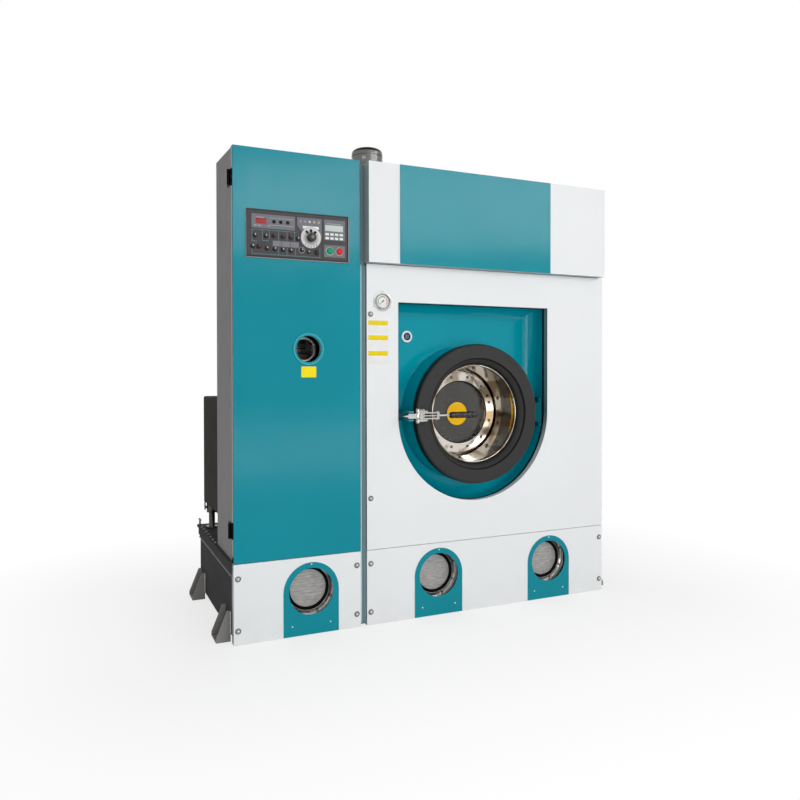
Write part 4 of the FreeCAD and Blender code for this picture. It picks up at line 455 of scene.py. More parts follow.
# CAD nodes by finish
NODE_FINISH = {
    "tank": "base_tank tank_lid",
    "foot": "tank_feet",
    "white": "kick_panel_left kick_panel_right fascia_panel",
    "white_front": "front_panel",
    "cap": "panel_bolts",
    "teal": "sight_plates fascia_insert",
    # Painted light: paler teal on the recessed pan.
    "paler_teal_pan": "door_surround",
    # Painted reflection: the steel keeper takes teal.
    "teal_cast": "clamp_keeper",
    "column_door": "column_door",
    "sight_trim": "door_sight_ring",
    # Painted shade: darker teal on the door hinge.
    "hinge_shade_teal": "door_hinge_arm door_hinge_bracket",
    "clamp": "clamp_lever clamp_bracket",
    "ground": "drum_bearings drum_shaft door_hinge_pin",
    "dull": "still_vessel tub",
    "seat": "sight_rings",
    "mirror": "door_bowl window_flange",
    "drum": "drum",
    "sight": "sight_glasses",
    "window": "window_glass",
    "clear": "gauge_lens",
    "column_grey": "column_shell",
    "black": "gauge_needle",
    "grip": "clamp_grip",
    "hinge": "column_hinges column_door_leaves",
    "knob": "selector_knob",
    "rubber": "column_door_seal door_gasket",
    "belt": "drive_belt",
    "control": "control_panel",
    "brushed": "selector_dial",
    "green": "start_button",
    "red": "stop_button",
    "cabinet_grey": "cabinet_shell rear_cover fan_housing",
    "cast": "bearing_housing drum_pulley motor_pulley",
    "motor": "drive_motor solvent_pump",
    "cowl": "fan_motor",
    "aluminium": "fan_impeller",
    "rear_box": "rear_box",
    "brass": "valve_body",
    "blue": "valve_handle",
    "gauge_steel": "gauge_case",
    "bezel": "button_bezel",
    "button_blue": "interlock_button",
    "ring": "door_ring",
}

# Rounded edges of the CAD nodes, in millimetres
EDGE_DEFAULT = 0.8
EDGE_ROUND = {
    "column_door": 2.0, "door_ring": 3.0, "tank_lid": 1.5, "rear_box": 3.0, "gauge_needle": 0.1,
    "gauge_lens": 0.2,
}
EDGE_SHARP = (
    "front_panel", "fascia_panel", "kick_panel_left", "kick_panel_right", "drum", "fan_motor", "panel_bolts",
    "drive_belt", "still_vessel", "fan_impeller",
)
EDGE_ANGLE = 40


def dress_nodes():
    """Makes every finish and gives each CAD node its own, with soft edges."""
    for maker, rows in FINISHES.items():
        for name, values in rows.items():
            MATERIALS[name] = maker(*values).material
    for finish, names in NODE_FINISH.items():
        for name in names.split():
            materials = frame["nodes"][name].data.materials
            materials.clear()
            materials.append(MATERIALS[finish])
    for name, node in frame["nodes"].items():
        weld = node.modifiers.new("weld", "WELD")
        weld.merge_threshold = 1e-6
        if name in EDGE_SHARP:
            continue
        bevel = node.modifiers.new("edge_round", "BEVEL")
        bevel.width = EDGE_ROUND.get(name, EDGE_DEFAULT) * MM
        bevel.segments = 2
        bevel.limit_method = "ANGLE"
        bevel.angle_limit = math.radians(EDGE_ANGLE)
        bevel.harden_normals = True
        bevel.use_clamp_overlap = True


# Mesh building

def turned(direction):
    """Rotation that takes +Z to a direction."""
    return Vector(direction).to_track_quat("Z", "Y").to_matrix().to_4x4()


def spokes(count):
    """Unit directions at even steps of a turn."""
    angles = [2 * math.pi * n / count for n in range(count)]
    return [(math.cos(angle), math.sin(angle)) for angle in angles]


def lathe(bm, centre, direction, profile, segments):
    """Turns (radius, height) points about a direction; closed where the radius is 0."""
    place = Matrix.Translation(Vector(centre)) @ turned(direction)
    rings = []
    for radius, height in profile:
        points = spokes(segments) if radius else [(0, 0)]
        rings.append([
            bm.verts.new(place @ Vector((radius * MM * x, radius * MM * y, height * MM))) for x, y in points
        ])
    for low, high in zip(rings, rings[1:]):
        for n in range(segments):
            after = (n + 1) % segments
            corners = (low[n % len(low)], low[after % len(low)], high[after % len(high)], high[n % len(high)])
            unique = list(dict.fromkeys(corners))
            if len(unique) > 2:
                bm.faces.new(unique)


def slab(bm, low, high, bevel, turn=Matrix.Identity(4)):
    """Block between two corners with rounded edges, turned into its place."""
    low, high = Vector(low), Vector(high)
    place = turn @ Matrix.Translation((low + high) / 2) @ Matrix.Diagonal((*(high - low), 1.0))
    made = bmesh.ops.create_cube(bm, size=1.0, matrix=place)
    edges = list(dict.fromkeys(e for v in made["verts"] for e in v.link_edges))
    bmesh.ops.bevel(bm, geom=edges, offset=bevel * MM, segments=2, affect="EDGES", profile=0.5)


def spoke_block(bm, centre, face, degrees, radius, width, length):
    """Small flat mark on a disc, turned about the disc's centre."""
    place = Matrix.Translation((centre.x, face, centre.z)) @ Matrix.Rotation(math.radians(degrees), 4, "Y")
    low = Vector((-width / 2, -0.4, radius - length / 2)) * MM
    high = Vector((width / 2, 0.1, radius + length / 2)) * MM
    slab(bm, low, high, 0.1, place)


def tube(bm, points, radius, segments):
    """Round bar through points, ends capped."""
    points = [Vector(p) for p in points]
    rings = []
    for index, point in enumerate(points):
        before, after = points[max(index - 1, 0)], points[min(index + 1, len(points) - 1)]
        place = Matrix.Translation(point) @ turned(after - before)
        rings.append([
            bm.verts.new(place @ Vector((radius * MM * x, radius * MM * y, 0))) for x, y in spokes(segments)
        ])
    bridge_loops(bm, rings)
    bm.faces.new(list(reversed(rings[0])))
    bm.faces.new(rings[-1])


def bridge_loops(bm, loops):
    """Faces between each closed loop of vertices and the next."""
    for low, high in zip(loops, loops[1:]):
        for n, vert in enumerate(low):
            after = (n + 1) % len(low)
            bm.faces.new((vert, low[after], high[after], high[n]))


def torus(bm, centre, direction, radius, thickness, segments, sides):
    """Round ring."""
    profile = [(radius + thickness * x, thickness * y) for x, y in spokes(sides)]
    lathe(bm, centre, direction, profile + profile[:1], segments)


def screw_head(bm, at, direction, radius, height):
    """Pan head with a socket."""
    lathe(bm, at, direction, [
        (0, 0), (radius, 0), (radius, height * 0.55), (radius * 0.8, height), (radius * 0.45, height),
        (radius * 0.42, height * 0.5), (0, height * 0.45),
    ], 20)


def hex_head(bm, at, direction, radius, height):
    """Hexagon head on a washer."""
    washer, rim = radius * 0.22, radius * 1.35
    lathe(bm, at, direction, [(0, 0), (rim, 0), (rim, washer), (radius * 0.9, washer)], 24)
    lathe(bm, Vector(at) + Vector(direction) * washer * MM, direction, [
        (radius, 0), (radius, height * 0.82), (radius * 0.86, height), (0, height),
    ], 6)


def piece(name, bm, finish, body="machine"):
    """Finished object that rides on a body and takes one of the finishes."""
    bmesh.ops.remove_doubles(bm, verts=bm.verts, dist=1e-7)
    bmesh.ops.recalc_face_normals(bm, faces=bm.faces)
    mesh = bpy.data.meshes.new(name)
    bm.to_mesh(mesh)
    bm.free()
    mesh.polygons.foreach_set("use_smooth", [True] * len(mesh.polygons))
    mesh.set_sharp_from_angle(angle=math.radians(35))
    mesh.materials.append(MATERIALS[finish])
    obj = bpy.data.objects.new(name, mesh)
    bpy.context.scene.collection.objects.link(obj)
    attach(obj, body)


def hoop(name, centre, y, sizes, finish, body="machine"):
    """Ring that faces the front: sizes are radius, half thickness and the two counts of facets."""
    bm = bmesh.new()
    torus(bm, (centre.x, y, centre.z), FRONT, *sizes)
    piece(name, bm, finish, body)


def turned_piece(name, places, profile, segments, finish, body="machine"):
    """Like turned shapes that face the front."""
    bm = bmesh.new()
    for at in places:
        lathe(bm, at, FRONT, profile, segments)
    piece(name, bm, finish, body)


def fasteners(name, head, places, direction, sizes, finish, body="machine"):
    """Like heads that face one way: sizes are radius and height."""
    bm = bmesh.new()
    for at in places:
        head(bm, at, direction, *sizes)
    piece(name, bm, finish, body)


def block(name, low, high, bevel, finish, body):
    """One plate or block with rounded edges."""
    bm = bmesh.new()
    slab(bm, low, high, bevel)
    piece(name, bm, finish, body)


def bolt_circle(centre, y, radius, start, count):
    """Places at even steps round a circle that faces the front, from a start in degrees."""
    for step in range(count):
        angle = math.radians(start + 360 / count * step)
        yield Vector((centre.x + radius * MM * math.cos(angle), y, centre.z + radius * MM * math.sin(angle)))


def stations(low, high, inset, gaps):
    """Places at even gaps between two ends, off both by an inset in millimetres."""
    start, length = low + inset * MM, high - low - 2 * inset * MM
    return [start + length * step / gaps for step in range(gaps + 1)]


def solid_boxes(name):
    """Corner boxes of the separate solids in a node, from its welded mesh."""
    bm = bmesh.new()
    bm.from_mesh(frame["nodes"][name].data)
    bmesh.ops.remove_doubles(bm, verts=bm.verts, dist=1e-6)
    left = set(bm.verts)
    boxes = []
    for first in bm.verts:
        if first not in left:
            continue
        left.discard(first)
        group, queue = set(), [first]
        while queue:
            vert = queue.pop()
            group.add(vert)
            for edge in vert.link_edges:
                other = edge.other_vert(vert)
                if other in left:
                    left.discard(other)
                    queue.append(other)
        low = Vector(min(v.co[i] for v in group) for i in range(3))
        high = Vector(max(v.co[i] for v in group) for i in range(3))
        boxes.append((low, high))
    bm.free()
    return boxes


def frame_joint(name):
    """Place of a joint's axis."""
    return Vector([j for j in frame["joints"] if j["name"] == name][0]["pos_m"])


# Control panel, in millimetres from its lower left corner

# Height of the raised modules, depth by which pieces sink in, width of the flow lines
MODULE, SUNK, LINE = 2.0, 0.2, 1.3

# Name, finish, slot, level, height, rounding, and blocks as x, z, width and height
PANEL_BLOCKS = (
    ("control_rim", "knob", "control_grey", 0, 0.8, 0.4,
     ((2, 2, 416, 7), (2, 181, 416, 4), (2, 2, 4, 182), (412, 2, 6, 182))),
    # Painted highlight: pale lines along the panel's bottom, left and right edges.
    ("control_edge_highlight", "pale_line", "dial_grey", 0, 1.2, 0.3,
     ((0, 0, 420, 1.8), (0, 0, 1.8, 186), (418.2, 0, 1.8, 186))),
    ("timer_window", "red_window", "red_plastic", MODULE, 1.2, 0.4, ((39, 130, 41, 21),)),
    ("panel_rules", "pale_line", "dial_grey", MODULE, 0.3, 0.1,
     ((92, 127, 98, 1.4), (92, 154, 98, 1.4), (31, 122, 11, 2.4), (48, 122, 11, 2.4), (84, 122, 11, 2.4),
      (38, 153, 34, 2.2), (326, 150, 60, 2.4))),
    ("selector_plate", "label", "bezel_white", MODULE, 0.6, 0.2, ((226, 124, 66, 11),)),
    ("display_window", "lcd", "gauge_white", MODULE, 0.8, 0.4, ((318, 122, 76, 24),)),
    ("display_keys", "module_key", "bezel_white", MODULE, 2.0, 1.0,
     [(319 + 20 * column, 105 - 16 * row, 15, 9.5) for row in range(2) for column in range(4)]),
    ("mimic_lines", "line", "dial_grey", 0, 0.35, 0.1, (
        (24, 107, 176, LINE), (24, 62, 20, LINE), (24, 14, 276, LINE), (64, 66, 26, LINE), (24, 62, LINE, 45),
        (64, 66, LINE, 41), (92, 74, LINE, 33), (128, 70, LINE, 37), (162, 70, LINE, 37), (192, 70, LINE, 37),
        (24, 14, LINE, 40), (128, 14, LINE, 30), (162, 14, LINE, 30), (196, 14, LINE, 30),
        (296, 14, LINE, 36),
    )),
    ("field_strip", "strip", "dial_grey", 0, 1.0, 0.8, [(x, 47, 34, 22) for x in (105, 140.5, 176)]),
)
TIMER_KEYS_X, TIMER_KEYS_Z = (110, 137, 165), 141
TIMER_KEY = ((7, 0), (7, 1.0), (6, 1.4), (5.6, 0.8), (5.2, 0.8), (5.0, 3.4), (4.2, 4.2), (0, 4.4))
LAMPS = ((216, "dim_lens"), (235, "dim_lens"), (253, "lens"), (272, "amber"), (291, "amber"))
LAMP_Z = 152
LAMP = ((5.2, 0), (5.2, 1.2), (4.4, 1.6), (4.0, 2.6), (2.8, 4.0), (0, 4.6))
UPPER_ROW = ((35, 84), (78, 84), (109, 87), (145, 86), (177, 85), (206, 82))
LOWER_ROW = ((27, 42), (50, 42), (82, 37), (113, 36), (145, 35), (177, 34))
RED_TIPS = UPPER_ROW[2:5] + LOWER_ROW[1:2]
SMALL_KNOBS = ((222, 40, 10), (249, 34, 7), (284, 33, 11))
CAP_RADIUS = 9.0
TIP_PROUD, TIP_BASE = 12.4, 10.6


def panel_point(x, z, proud=0.0):
    """Point on the panel's plate face."""
    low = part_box("control_panel")[0]
    return Vector((low.x + x * MM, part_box("selector_dial")[1].y - proud * MM, low.z + z * MM))


def make_control_panel():
    """Blocks, keys, lamps, caps, dial marks and button rims of the control panel."""
    for name, finish, slot, level, height, bevel, blocks in PANEL_BLOCKS:
        bm = bmesh.new()
        for x, z, width, rise in blocks:
            slab(bm, panel_point(x, z, level + height), panel_point(x + width, z + rise, level - SUNK), bevel)
        piece(name, bm, finish, "column_door")
    places = [panel_point(x, TIMER_KEYS_Z, MODULE - SUNK) for x in TIMER_KEYS_X]
    turned_piece("timer_keys", places, TIMER_KEY, 24, "black", "column_door")
    for number, (x, finish) in enumerate(LAMPS, 1):
        at = panel_point(x, LAMP_Z, MODULE - SUNK)
        turned_piece("status_lamp_%d" % number, [at], LAMP, 24, finish, "column_door")
    make_switch_caps()
    make_dial_marks()
    face = panel_point(0, 0, MODULE + 0.6).y
    for button, finish in (("start_button", "mint"), ("stop_button", "pink")):
        hoop(button + "_rim", middle(button), face, (14.2, 2.4, 40, 10), finish, "column_door")


def make_switch_caps():
    """Round caps with pale or red tips, and the ring round the first small knob."""
    caps, tips, red_tips = bmesh.new(), bmesh.new(), bmesh.new()
    for x, z in UPPER_ROW + LOWER_ROW:
        switch_cap(caps, x, z, CAP_RADIUS)
        tip = red_tips if (x, z) in RED_TIPS else tips
        slab(tip, panel_point(x - 2.4, z - 0.5, TIP_PROUD), panel_point(x + 2.4, z + 6.5, TIP_BASE), 0.5)
    for number, (x, z, radius) in enumerate(SMALL_KNOBS):
        switch_cap(caps, x, z, radius)
        if number < 2:
            slab(tips, panel_point(x - 2.6, z - 2, TIP_PROUD), panel_point(x + 2.6, z + 4, TIP_BASE), 0.5)
    piece("mimic_caps", caps, "cap_grey", "column_door")
    piece("mimic_cap_tips", tips, "pale_line", "column_door")
    piece("mimic_red_tips", red_tips, "red_window", "column_door")
    x, z, radius = SMALL_KNOBS[0]
    at = panel_point(x, z, 0.4)
    hoop("knob_ring", at, at.y, (radius + 1.4, 1.0, 32, 8), "pale_line", "column_door")


def switch_cap(bm, x, z, radius):
    """Skirted round cap."""
    lathe(bm, panel_point(x, z, -SUNK), FRONT, [
        (radius, 0), (radius, 1.6), (radius * 0.86, 2.4), (radius * 0.66, 3.0), (radius * 0.58, 9.6),
        (radius * 0.50, 10.8), (0, 11.2),
    ], 24)


def make_dial_marks():
    """Plain marks and edge of the selector's disc, and the knob's cap and pointer."""
    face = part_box("selector_dial")[0].y
    knob_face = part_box("selector_knob")[0].y
    centre = middle("selector_dial")
    marks = bmesh.new()
    for degrees in (-38, 0, 38):
        spoke_block(marks, centre, face, degrees, 27.0, 9.5, 13)
    for degrees in (-160, -140, 140, 160, 180):
        spoke_block(marks, centre, face, degrees, 36, 3, 5)
    piece("dial_marks", marks, "black", "column_door")
    cap = ((7.0, 0), (7.0, 0.6), (5.6, 1.2), (0, 1.4))
    at = (centre.x, knob_face + 0.3 * MM, centre.z)
    turned_piece("selector_knob_cap", [at], cap, 32, "cap_spot", "selector_knob")
    pointer = bmesh.new()
    spoke_block(pointer, centre, knob_face, 0, 11.5, 1.8, 6)
    piece("selector_pointer", pointer, "pale_line", "selector_knob")
    hoop("dial_edge", centre, face + 0.4 * MM, (41.2, 1.0, 72, 8), "dull", "column_door")


# Front fittings

GAUGE_FLANGE = ((35.0, 0), (40.0, 0), (40.4, 0.8), (39.4, 2.0), (36.6, 2.6), (35.0, 2.6), (35.0, 0))
GAUGE_SWEEP, GAUGE_TICKS = 270, 11
BAND_INNER, BAND_OUTER, BAND_PROUD, BAND_STEPS = 18.0, 21.0, 0.08, 36
LABEL_LEFT, LABEL_WIDTH, LABEL_HEAD = 7, 88, 19
LABEL_RISES = ((943, 891), (882, 828), (818, 768))
SIGHT_X = (-0.572, 0.0, 0.572)
SIGHT_SEAT_SETBACK = 15 * MM


def make_gauge():
    """Card, bands, ticks and rings of the pressure gauge, and the screws of its flange."""
    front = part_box("gauge_case")[0].y
    centre = middle("gauge_lens")
    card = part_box("gauge_needle")[1].y + 0.12 * MM
    arc_band("gauge_green_band", "dial_green", centre, card, -128, 40)
    arc_band("gauge_red_band", "dial_red", centre, card, 52, 128)
    disc = ((27, 0), (27, 0.06), (0, 0.06))
    at = (centre.x, card + 0.10 * MM, centre.z)
    turned_piece("gauge_card", [at], disc, 64, "dial_white", "machine")
    ticks = bmesh.new()
    for step in range(GAUGE_TICKS):
        degrees = GAUGE_SWEEP * (step / (GAUGE_TICKS - 1) - 0.5)
        spoke_block(ticks, centre, card, degrees, 23.5, 0.7, 3.4)
    piece("gauge_ticks", ticks, "black", "machine")
    hoop("gauge_rim", centre, front + 0.6 * MM, (31.2, 1.1, 72, 10), "gauge_steel")
    at = (centre.x, front + 10 * MM, centre.z)
    turned_piece("gauge_flange", [at], GAUGE_FLANGE, 96, "gauge_steel")
    hoop("gauge_groove", centre, front + 0.8 * MM, (29.2, 1.0, 72, 10), "dark", "machine")
    places = bolt_circle(centre, front + 6 * MM, 37, 90, 3)
    fasteners("gauge_screws", screw_head, places, FRONT, (3.6, 2.4), "chrome")


def arc_band(name, finish, centre, depth, start, end):
    """Coloured band of a dial; degrees count clockwise from the top."""
    bm = bmesh.new()
    rings = []
    for step in range(BAND_STEPS + 1):
        angle = math.radians(start + (end - start) * step / BAND_STEPS)
        across, rise = math.sin(angle), math.cos(angle)
        rings.append([
            bm.verts.new((centre.x + radius * MM * across, depth - proud * MM, centre.z + radius * MM * rise))
            for radius, proud in (
                (BAND_INNER, 0), (BAND_OUTER, 0), (BAND_OUTER, BAND_PROUD), (BAND_INNER, BAND_PROUD),
            )
        ])
    bridge_loops(bm, rings)
    bm.faces.new(rings[0])
    bm.faces.new(list(reversed(rings[-1])))
    piece(name, bm, finish, "machine")


def make_plates():
    """Bare plates and films in the places of the photograph's labels."""
    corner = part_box("front_panel")[0]
    left, floor = corner.x + LABEL_LEFT * MM, corner.z - 2 * MM
    right, root = left + LABEL_WIDTH * MM, corner.y + 0.1 * MM
    for number, (top, bottom) in enumerate(LABEL_RISES, 1):
        band = floor + (top - LABEL_HEAD) * MM
        for name, finish, proud, low, high in (
            ("blank_plate_%d", "label", 0.5, floor + bottom * MM, band),
            ("blank_plate_head_%d", "label_head", 0.6, band, floor + top * MM),
        ):
            start, end = (left, corner.y - proud * MM, low), (right, root, high)
            block(name % number, start, end, 0.15, finish, "machine")
    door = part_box("column_door")[0]
    block("yellow_tag", (door.x + 270 * MM, door.y - 0.6 * MM, 1020 * MM),
          (door.x + 332 * MM, door.y + 0.1 * MM, 1063 * MM), 0.2, "lemon", "column_door")
    glass = middle("window_glass")
    at = (glass.x - 6 * MM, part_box("window_glass")[0].y + 0.1 * MM, glass.z - 8 * MM)
    disc = ((52.5, 0), (52.5, 0.5), (51.8, 0.8), (0, 0.9))
    turned_piece("window_disc", [at], disc, 64, "yellow", "loading_door")


def make_sight_fittings():
    """Screws of the arched plates, gaskets and clamp bolts of the tank windows."""
    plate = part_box("sight_plates")[0].y
    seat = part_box("sight_rings")[0].y + SIGHT_SEAT_SETBACK
    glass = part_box("sight_glasses")[0].y
    rise = middle("sight_glasses").z
    screws, bolts, gaskets = [], [], bmesh.new()
    for x in SIGHT_X:
        screws += [(x + across * MM, plate, z * MM) for across, z in ((0, 281), (-79, 42), (79, 42))]
        bolts += bolt_circle(Vector((x, 0, rise)), seat, 95, 22.5, 8)
        torus(gaskets, (x, glass - 4.6 * MM, rise), FRONT, 81.5, 6.0, 72, 12)
    fasteners("plate_screws", screw_head, screws, FRONT, (3.0, 1.8), "chrome")
    fasteners("sight_bolts", hex_head, bolts, FRONT, (3.6, 4.0), "dark")
    piece("sight_gaskets", gaskets, "gasket", "machine")


def make_bolt_washers():
    """Washer under each domed cap bolt."""
    boxes = solid_boxes("panel_bolts")
    places = [((low.x + high.x) / 2, high.y, (low.z + high.z) / 2) for low, high in boxes]
    turned_piece("cap_washers", places, ((11.5, 0), (11.5, 1.2), (8.8, 1.6)), 32, "dark")


# Loading door

RECESS_HALF_WIDTH = 378 * MM
# Black strip that paints the shadow in the gap round the recess.
SHADE_STRIP_SETBACK, SHADE_STRIP_DEPTH, SHADE_STRIP_PROUD, SHADE_STRIP_ROOT = 26 * MM, 10 * MM, 2.0 * MM, 0.3 * MM
SHADE_STRIP_STEPS = 96


def make_door_fittings():
    """Window bolts, bowl studs and round rings of the loading door."""
    centre = middle("door_ring")
    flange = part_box("window_flange")[0].y
    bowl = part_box("door_bowl")[0].y
    depth = (bowl + flange) / 2
    places = bolt_circle(centre, flange, 163, 15, 12)
    fasteners("window_bolts", screw_head, places, FRONT, (6.5, 4.0), "dark", "loading_door")
    studs = bmesh.new()
    for at in bolt_circle(centre, depth, 201.5, 20, 6):
        screw_head(studs, at, Vector((centre.x, depth, centre.z)) - at, 7.0, 5.0)
    piece("bowl_studs", studs, "dark", "loading_door")
    for name, y, sizes, finish, slot in (
        ("bowl_rim", bowl - 0.4 * MM, (211.5, 2.2, 128, 12), "mirror", "stainless"),
        ("ring_lip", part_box("door_ring")[0].y + 9 * MM, (239, 2.6, 128, 12), "rubber", "black_rubber"),
        ("window_gasket", flange + 1.5 * MM, (141, 2.6, 96, 10), "rubber", "black_rubber"),
    ):
        hoop(name, centre, y, sizes, finish, "loading_door")


def make_clamp_fittings():
    """Nuts of the pivot, screws of the bracket and pins of the lever arms."""
    low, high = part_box("clamp_bracket")
    pivot = frame_joint("clamp_swing")
    nuts, pins = bmesh.new(), bmesh.new()
    hex_head(nuts, (pivot.x, pivot.y, high.z - 8 * MM), UP, 7.6, 6.5)
    hex_head(nuts, (pivot.x, pivot.y, low.z + 8 * MM), -UP, 7.6, 6.5)
    for z in (-23.5, 23.5):
        for x in (6, 18):
            screw_head(nuts, (high.x - x * MM, high.y - 6 * MM, pivot.z + z * MM), FRONT, 2.2, 2.0)
    piece("clamp_nuts", nuts, "clamp", "loading_door")
    for x in (93, 14):
        for side in (1, -1):
            at = (pivot.x + x * MM, pivot.y, pivot.z + side * 15 * MM)
            lathe(pins, at, UP * side, [(4.0, -0.5), (4.0, 2.4), (2.8, 3.4), (0, 3.4)], 20)
    piece("clamp_pins", pins, "clamp", "clamp_lever")


def make_recess_gap_shade():
    """Painted shadow: black strip in the gap between the front panel's return and the pan, all round the
    recess.
    """
    pan_low, pan_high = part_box("door_surround")
    axis = middle("door_ring")
    flange = axis.z - pan_low.z - RECESS_HALF_WIDTH
    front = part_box("front_panel")[0].y + SHADE_STRIP_SETBACK
    bm = bmesh.new()
    loops = []
    for grow, y in ((SHADE_STRIP_ROOT, 0), (-SHADE_STRIP_PROUD, 0), (-SHADE_STRIP_PROUD, SHADE_STRIP_DEPTH), (SHADE_STRIP_ROOT, SHADE_STRIP_DEPTH)):
        side, top = RECESS_HALF_WIDTH + grow, pan_high.z - flange + grow
        path = []
        for step in range(SHADE_STRIP_STEPS + 1):
            angle = math.pi * (1 + step / SHADE_STRIP_STEPS)
            path.append((axis.x + side * math.cos(angle), axis.z + side * math.sin(angle)))
        path += [(axis.x + side, top), (axis.x - side, top)]
        loops.append([bm.verts.new((x, front + y, z)) for x, z in path])
    bridge_loops(bm, loops + loops[:1])
    # Painted shadow in the gap.
    piece("recess_gap_shade", bm, "gasket", "machine")


def make_button_face():
    """Dark ring and raised cross of the recess button."""
    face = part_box("interlock_button")[0].y
    centre = middle("interlock_button")
    sizes = (13.8, 2.8, 48, 10)
    hoop("button_ring", centre, face + 1.4 * MM, sizes, "black", "interlock_button")
    cross = bmesh.new()
    for along, across in ((10, 0.9), (0.9, 10)):
        slab(cross, (centre.x - along * MM, face - 0.5 * MM, centre.z - across * MM),
             (centre.x + along * MM, face + 0.3 * MM, centre.z + across * MM), 0.2)
    piece("button_cross", cross, "button_blue", "interlock_button")


# Tank, column and rear

TANK_RIDGE_RISE, TANK_RIDGE_PROUD = 261 * MM, 2.5 * MM
WELD_SEED, WELD_START = 7, 36 * MM
STILL_TRAY_SETBACK, STILL_TRAY_RISE = 125 * MM, -15 * MM
STILL_TRAY_HALF, STILL_TRAY_HEIGHT = 84 * MM, 80 * MM
BEAD_STEPS, BEAD_WAVE = 120, 0.2
REAR_PLATE_SIZE, REAR_PLATE_INSET = (150 * MM, 95 * MM), (140 * MM, 260 * MM)
COWL_BOLT_DROP, COWL_BOLT_REACH = 54 * MM, 71.6 * MM


def make_lid_bolts():
    """Bolts along the lid's left, rear and right edges, and the wing bolt at its rear left corner."""
    low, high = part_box("tank_lid")
    rear = high.y - 12 * MM
    column_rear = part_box("column_shell")[1].y
    valve_x = frame_joint("valve_turn").x
    heads = bmesh.new()
    for step in range(7):
        hex_head(heads, (low.x + 11 * MM, column_rear + (30 + 55 * step) * MM, high.z), UP, 5.5, 5)
    for step in range(15):
        x = low.x + (60 + 118 * step) * MM
        if abs(x - valve_x) > 40 * MM:
            hex_head(heads, (x, rear, high.z), UP, 7.5, 6)
    for step in range(6):
        hex_head(heads, (high.x - 7 * MM, low.y + (70 + 110 * step) * MM, high.z), UP, 6.0, 5)
    piece("lid_bolts", heads, "foot")
    wing = bmesh.new()
    at = Vector((low.x + 12 * MM, rear, high.z))
    lathe(wing, at, UP, [(9, 0), (9, 3), (4.2, 3.2), (4.2, 22), (0, 22)], 20)
    tube(wing, [at + Vector((0, side, 24)) * MM for side in (-17, 17)], 4.5, 14)
    piece("lid_wing_bolt", wing, "foot")


def tank_walls():
    """Both side walls of the tank."""
    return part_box("kick_panel_left")[0].x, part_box("kick_panel_right")[1].x


def make_tank_ridge():
    """Angle iron along the tank's top edges, with its rolled lower edge."""
    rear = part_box("base_tank")[1].y
    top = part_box("tank_lid")[0].z - 1 * MM
    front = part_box("kick_panel_left")[1].y + 2 * MM
    band, ridge = bmesh.new(), bmesh.new()
    for wall, outward in zip(tank_walls(), (-1, 1)):
        face = wall + outward * TANK_RIDGE_PROUD
        slab(band, (min(wall, face), front, TANK_RIDGE_RISE), (max(wall, face), rear, top), 0.6)
        tube(ridge, [(face, y, TANK_RIDGE_RISE) for y in (front, rear)], 3.0, 10)
    piece("tank_band", band, "band", "machine")
    piece("tank_ridge", ridge, "foot", "machine")


def make_welds():
    """Uneven weld beads where the gussets meet the tank."""
    draw = random.Random(WELD_SEED)
    beads = bmesh.new()
    wall_left, wall_right = tank_walls()
    for low, high in solid_boxes("tank_feet"):
        x, outward = (wall_left, LEFT) if low.x < 0 else (wall_right, RIGHT)
        for y, side in ((low.y, -1), (high.y, 1)):
            z = WELD_START
            while z < high.z - 4 * MM:
                size = draw.uniform(3.4, 4.6)
                at = Vector((x, y + side * 0.6 * MM, z)) - outward * 0.8 * MM
                bead = [(size, 0), (size * 0.8, size * 0.5), (0, size * 0.7)]
                lathe(beads, at, (outward.x, side, 0.35), bead, 10)
                z += draw.uniform(3.6, 5.0) * MM
    piece("foot_welds", beads, "weld", "machine")


def make_still_sight():
    """Pale teal ring that paints the highlight on the sight trim's edge, and the tray that shows inside the
    still.
    """
    low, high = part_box("door_sight_ring")
    centre = middle("door_sight_ring")
    sizes = ((high.x - low.x) / 2 / MM - 1.6, 1.8, 96, 10)
    # Painted highlight: pale ring on the trim's edge.
    hoop("sight_trim_edge", centre, low.y + 1.2 * MM, sizes, "trim_highlight", "column_door")
    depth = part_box("still_vessel")[0].y + STILL_TRAY_SETBACK
    top = centre.z + STILL_TRAY_RISE
    left, right = centre.x - STILL_TRAY_HALF, centre.x + STILL_TRAY_HALF
    block("still_tray", (left, depth, top - STILL_TRAY_HEIGHT), (right, depth + 3 * MM, top), 1.0,
          "sludge", "machine")
    lip = bmesh.new()
    tube(lip, ((left, depth, top), (right, depth, top)), 2.2, 12)
    piece("still_tray_lip", lip, "dull", "machine")


def make_hinge_screws():
    """Screws of the column door's hinges, on the column and on the door."""
    fixed, moving = [], []
    for share in (0.25, 0.75):
        for low, high in solid_boxes("column_hinges"):
            rise = low.z + (high.z - low.z) * share
            fixed += [(high.x - 3 * MM, high.y - back * MM, rise) for back in (10, 28)]
        for low, high in solid_boxes("column_door_leaves"):
            moving.append((high.x - 3 * MM, low.y + 7 * MM, low.z + (high.z - low.z) * share))
    fasteners("hinge_screws", screw_head, fixed, LEFT, (3.4, 1.6), "hinge", "machine")
    fasteners("hinge_door_screws", screw_head, moving, LEFT, (3.0, 1.6), "hinge",
              "column_door")


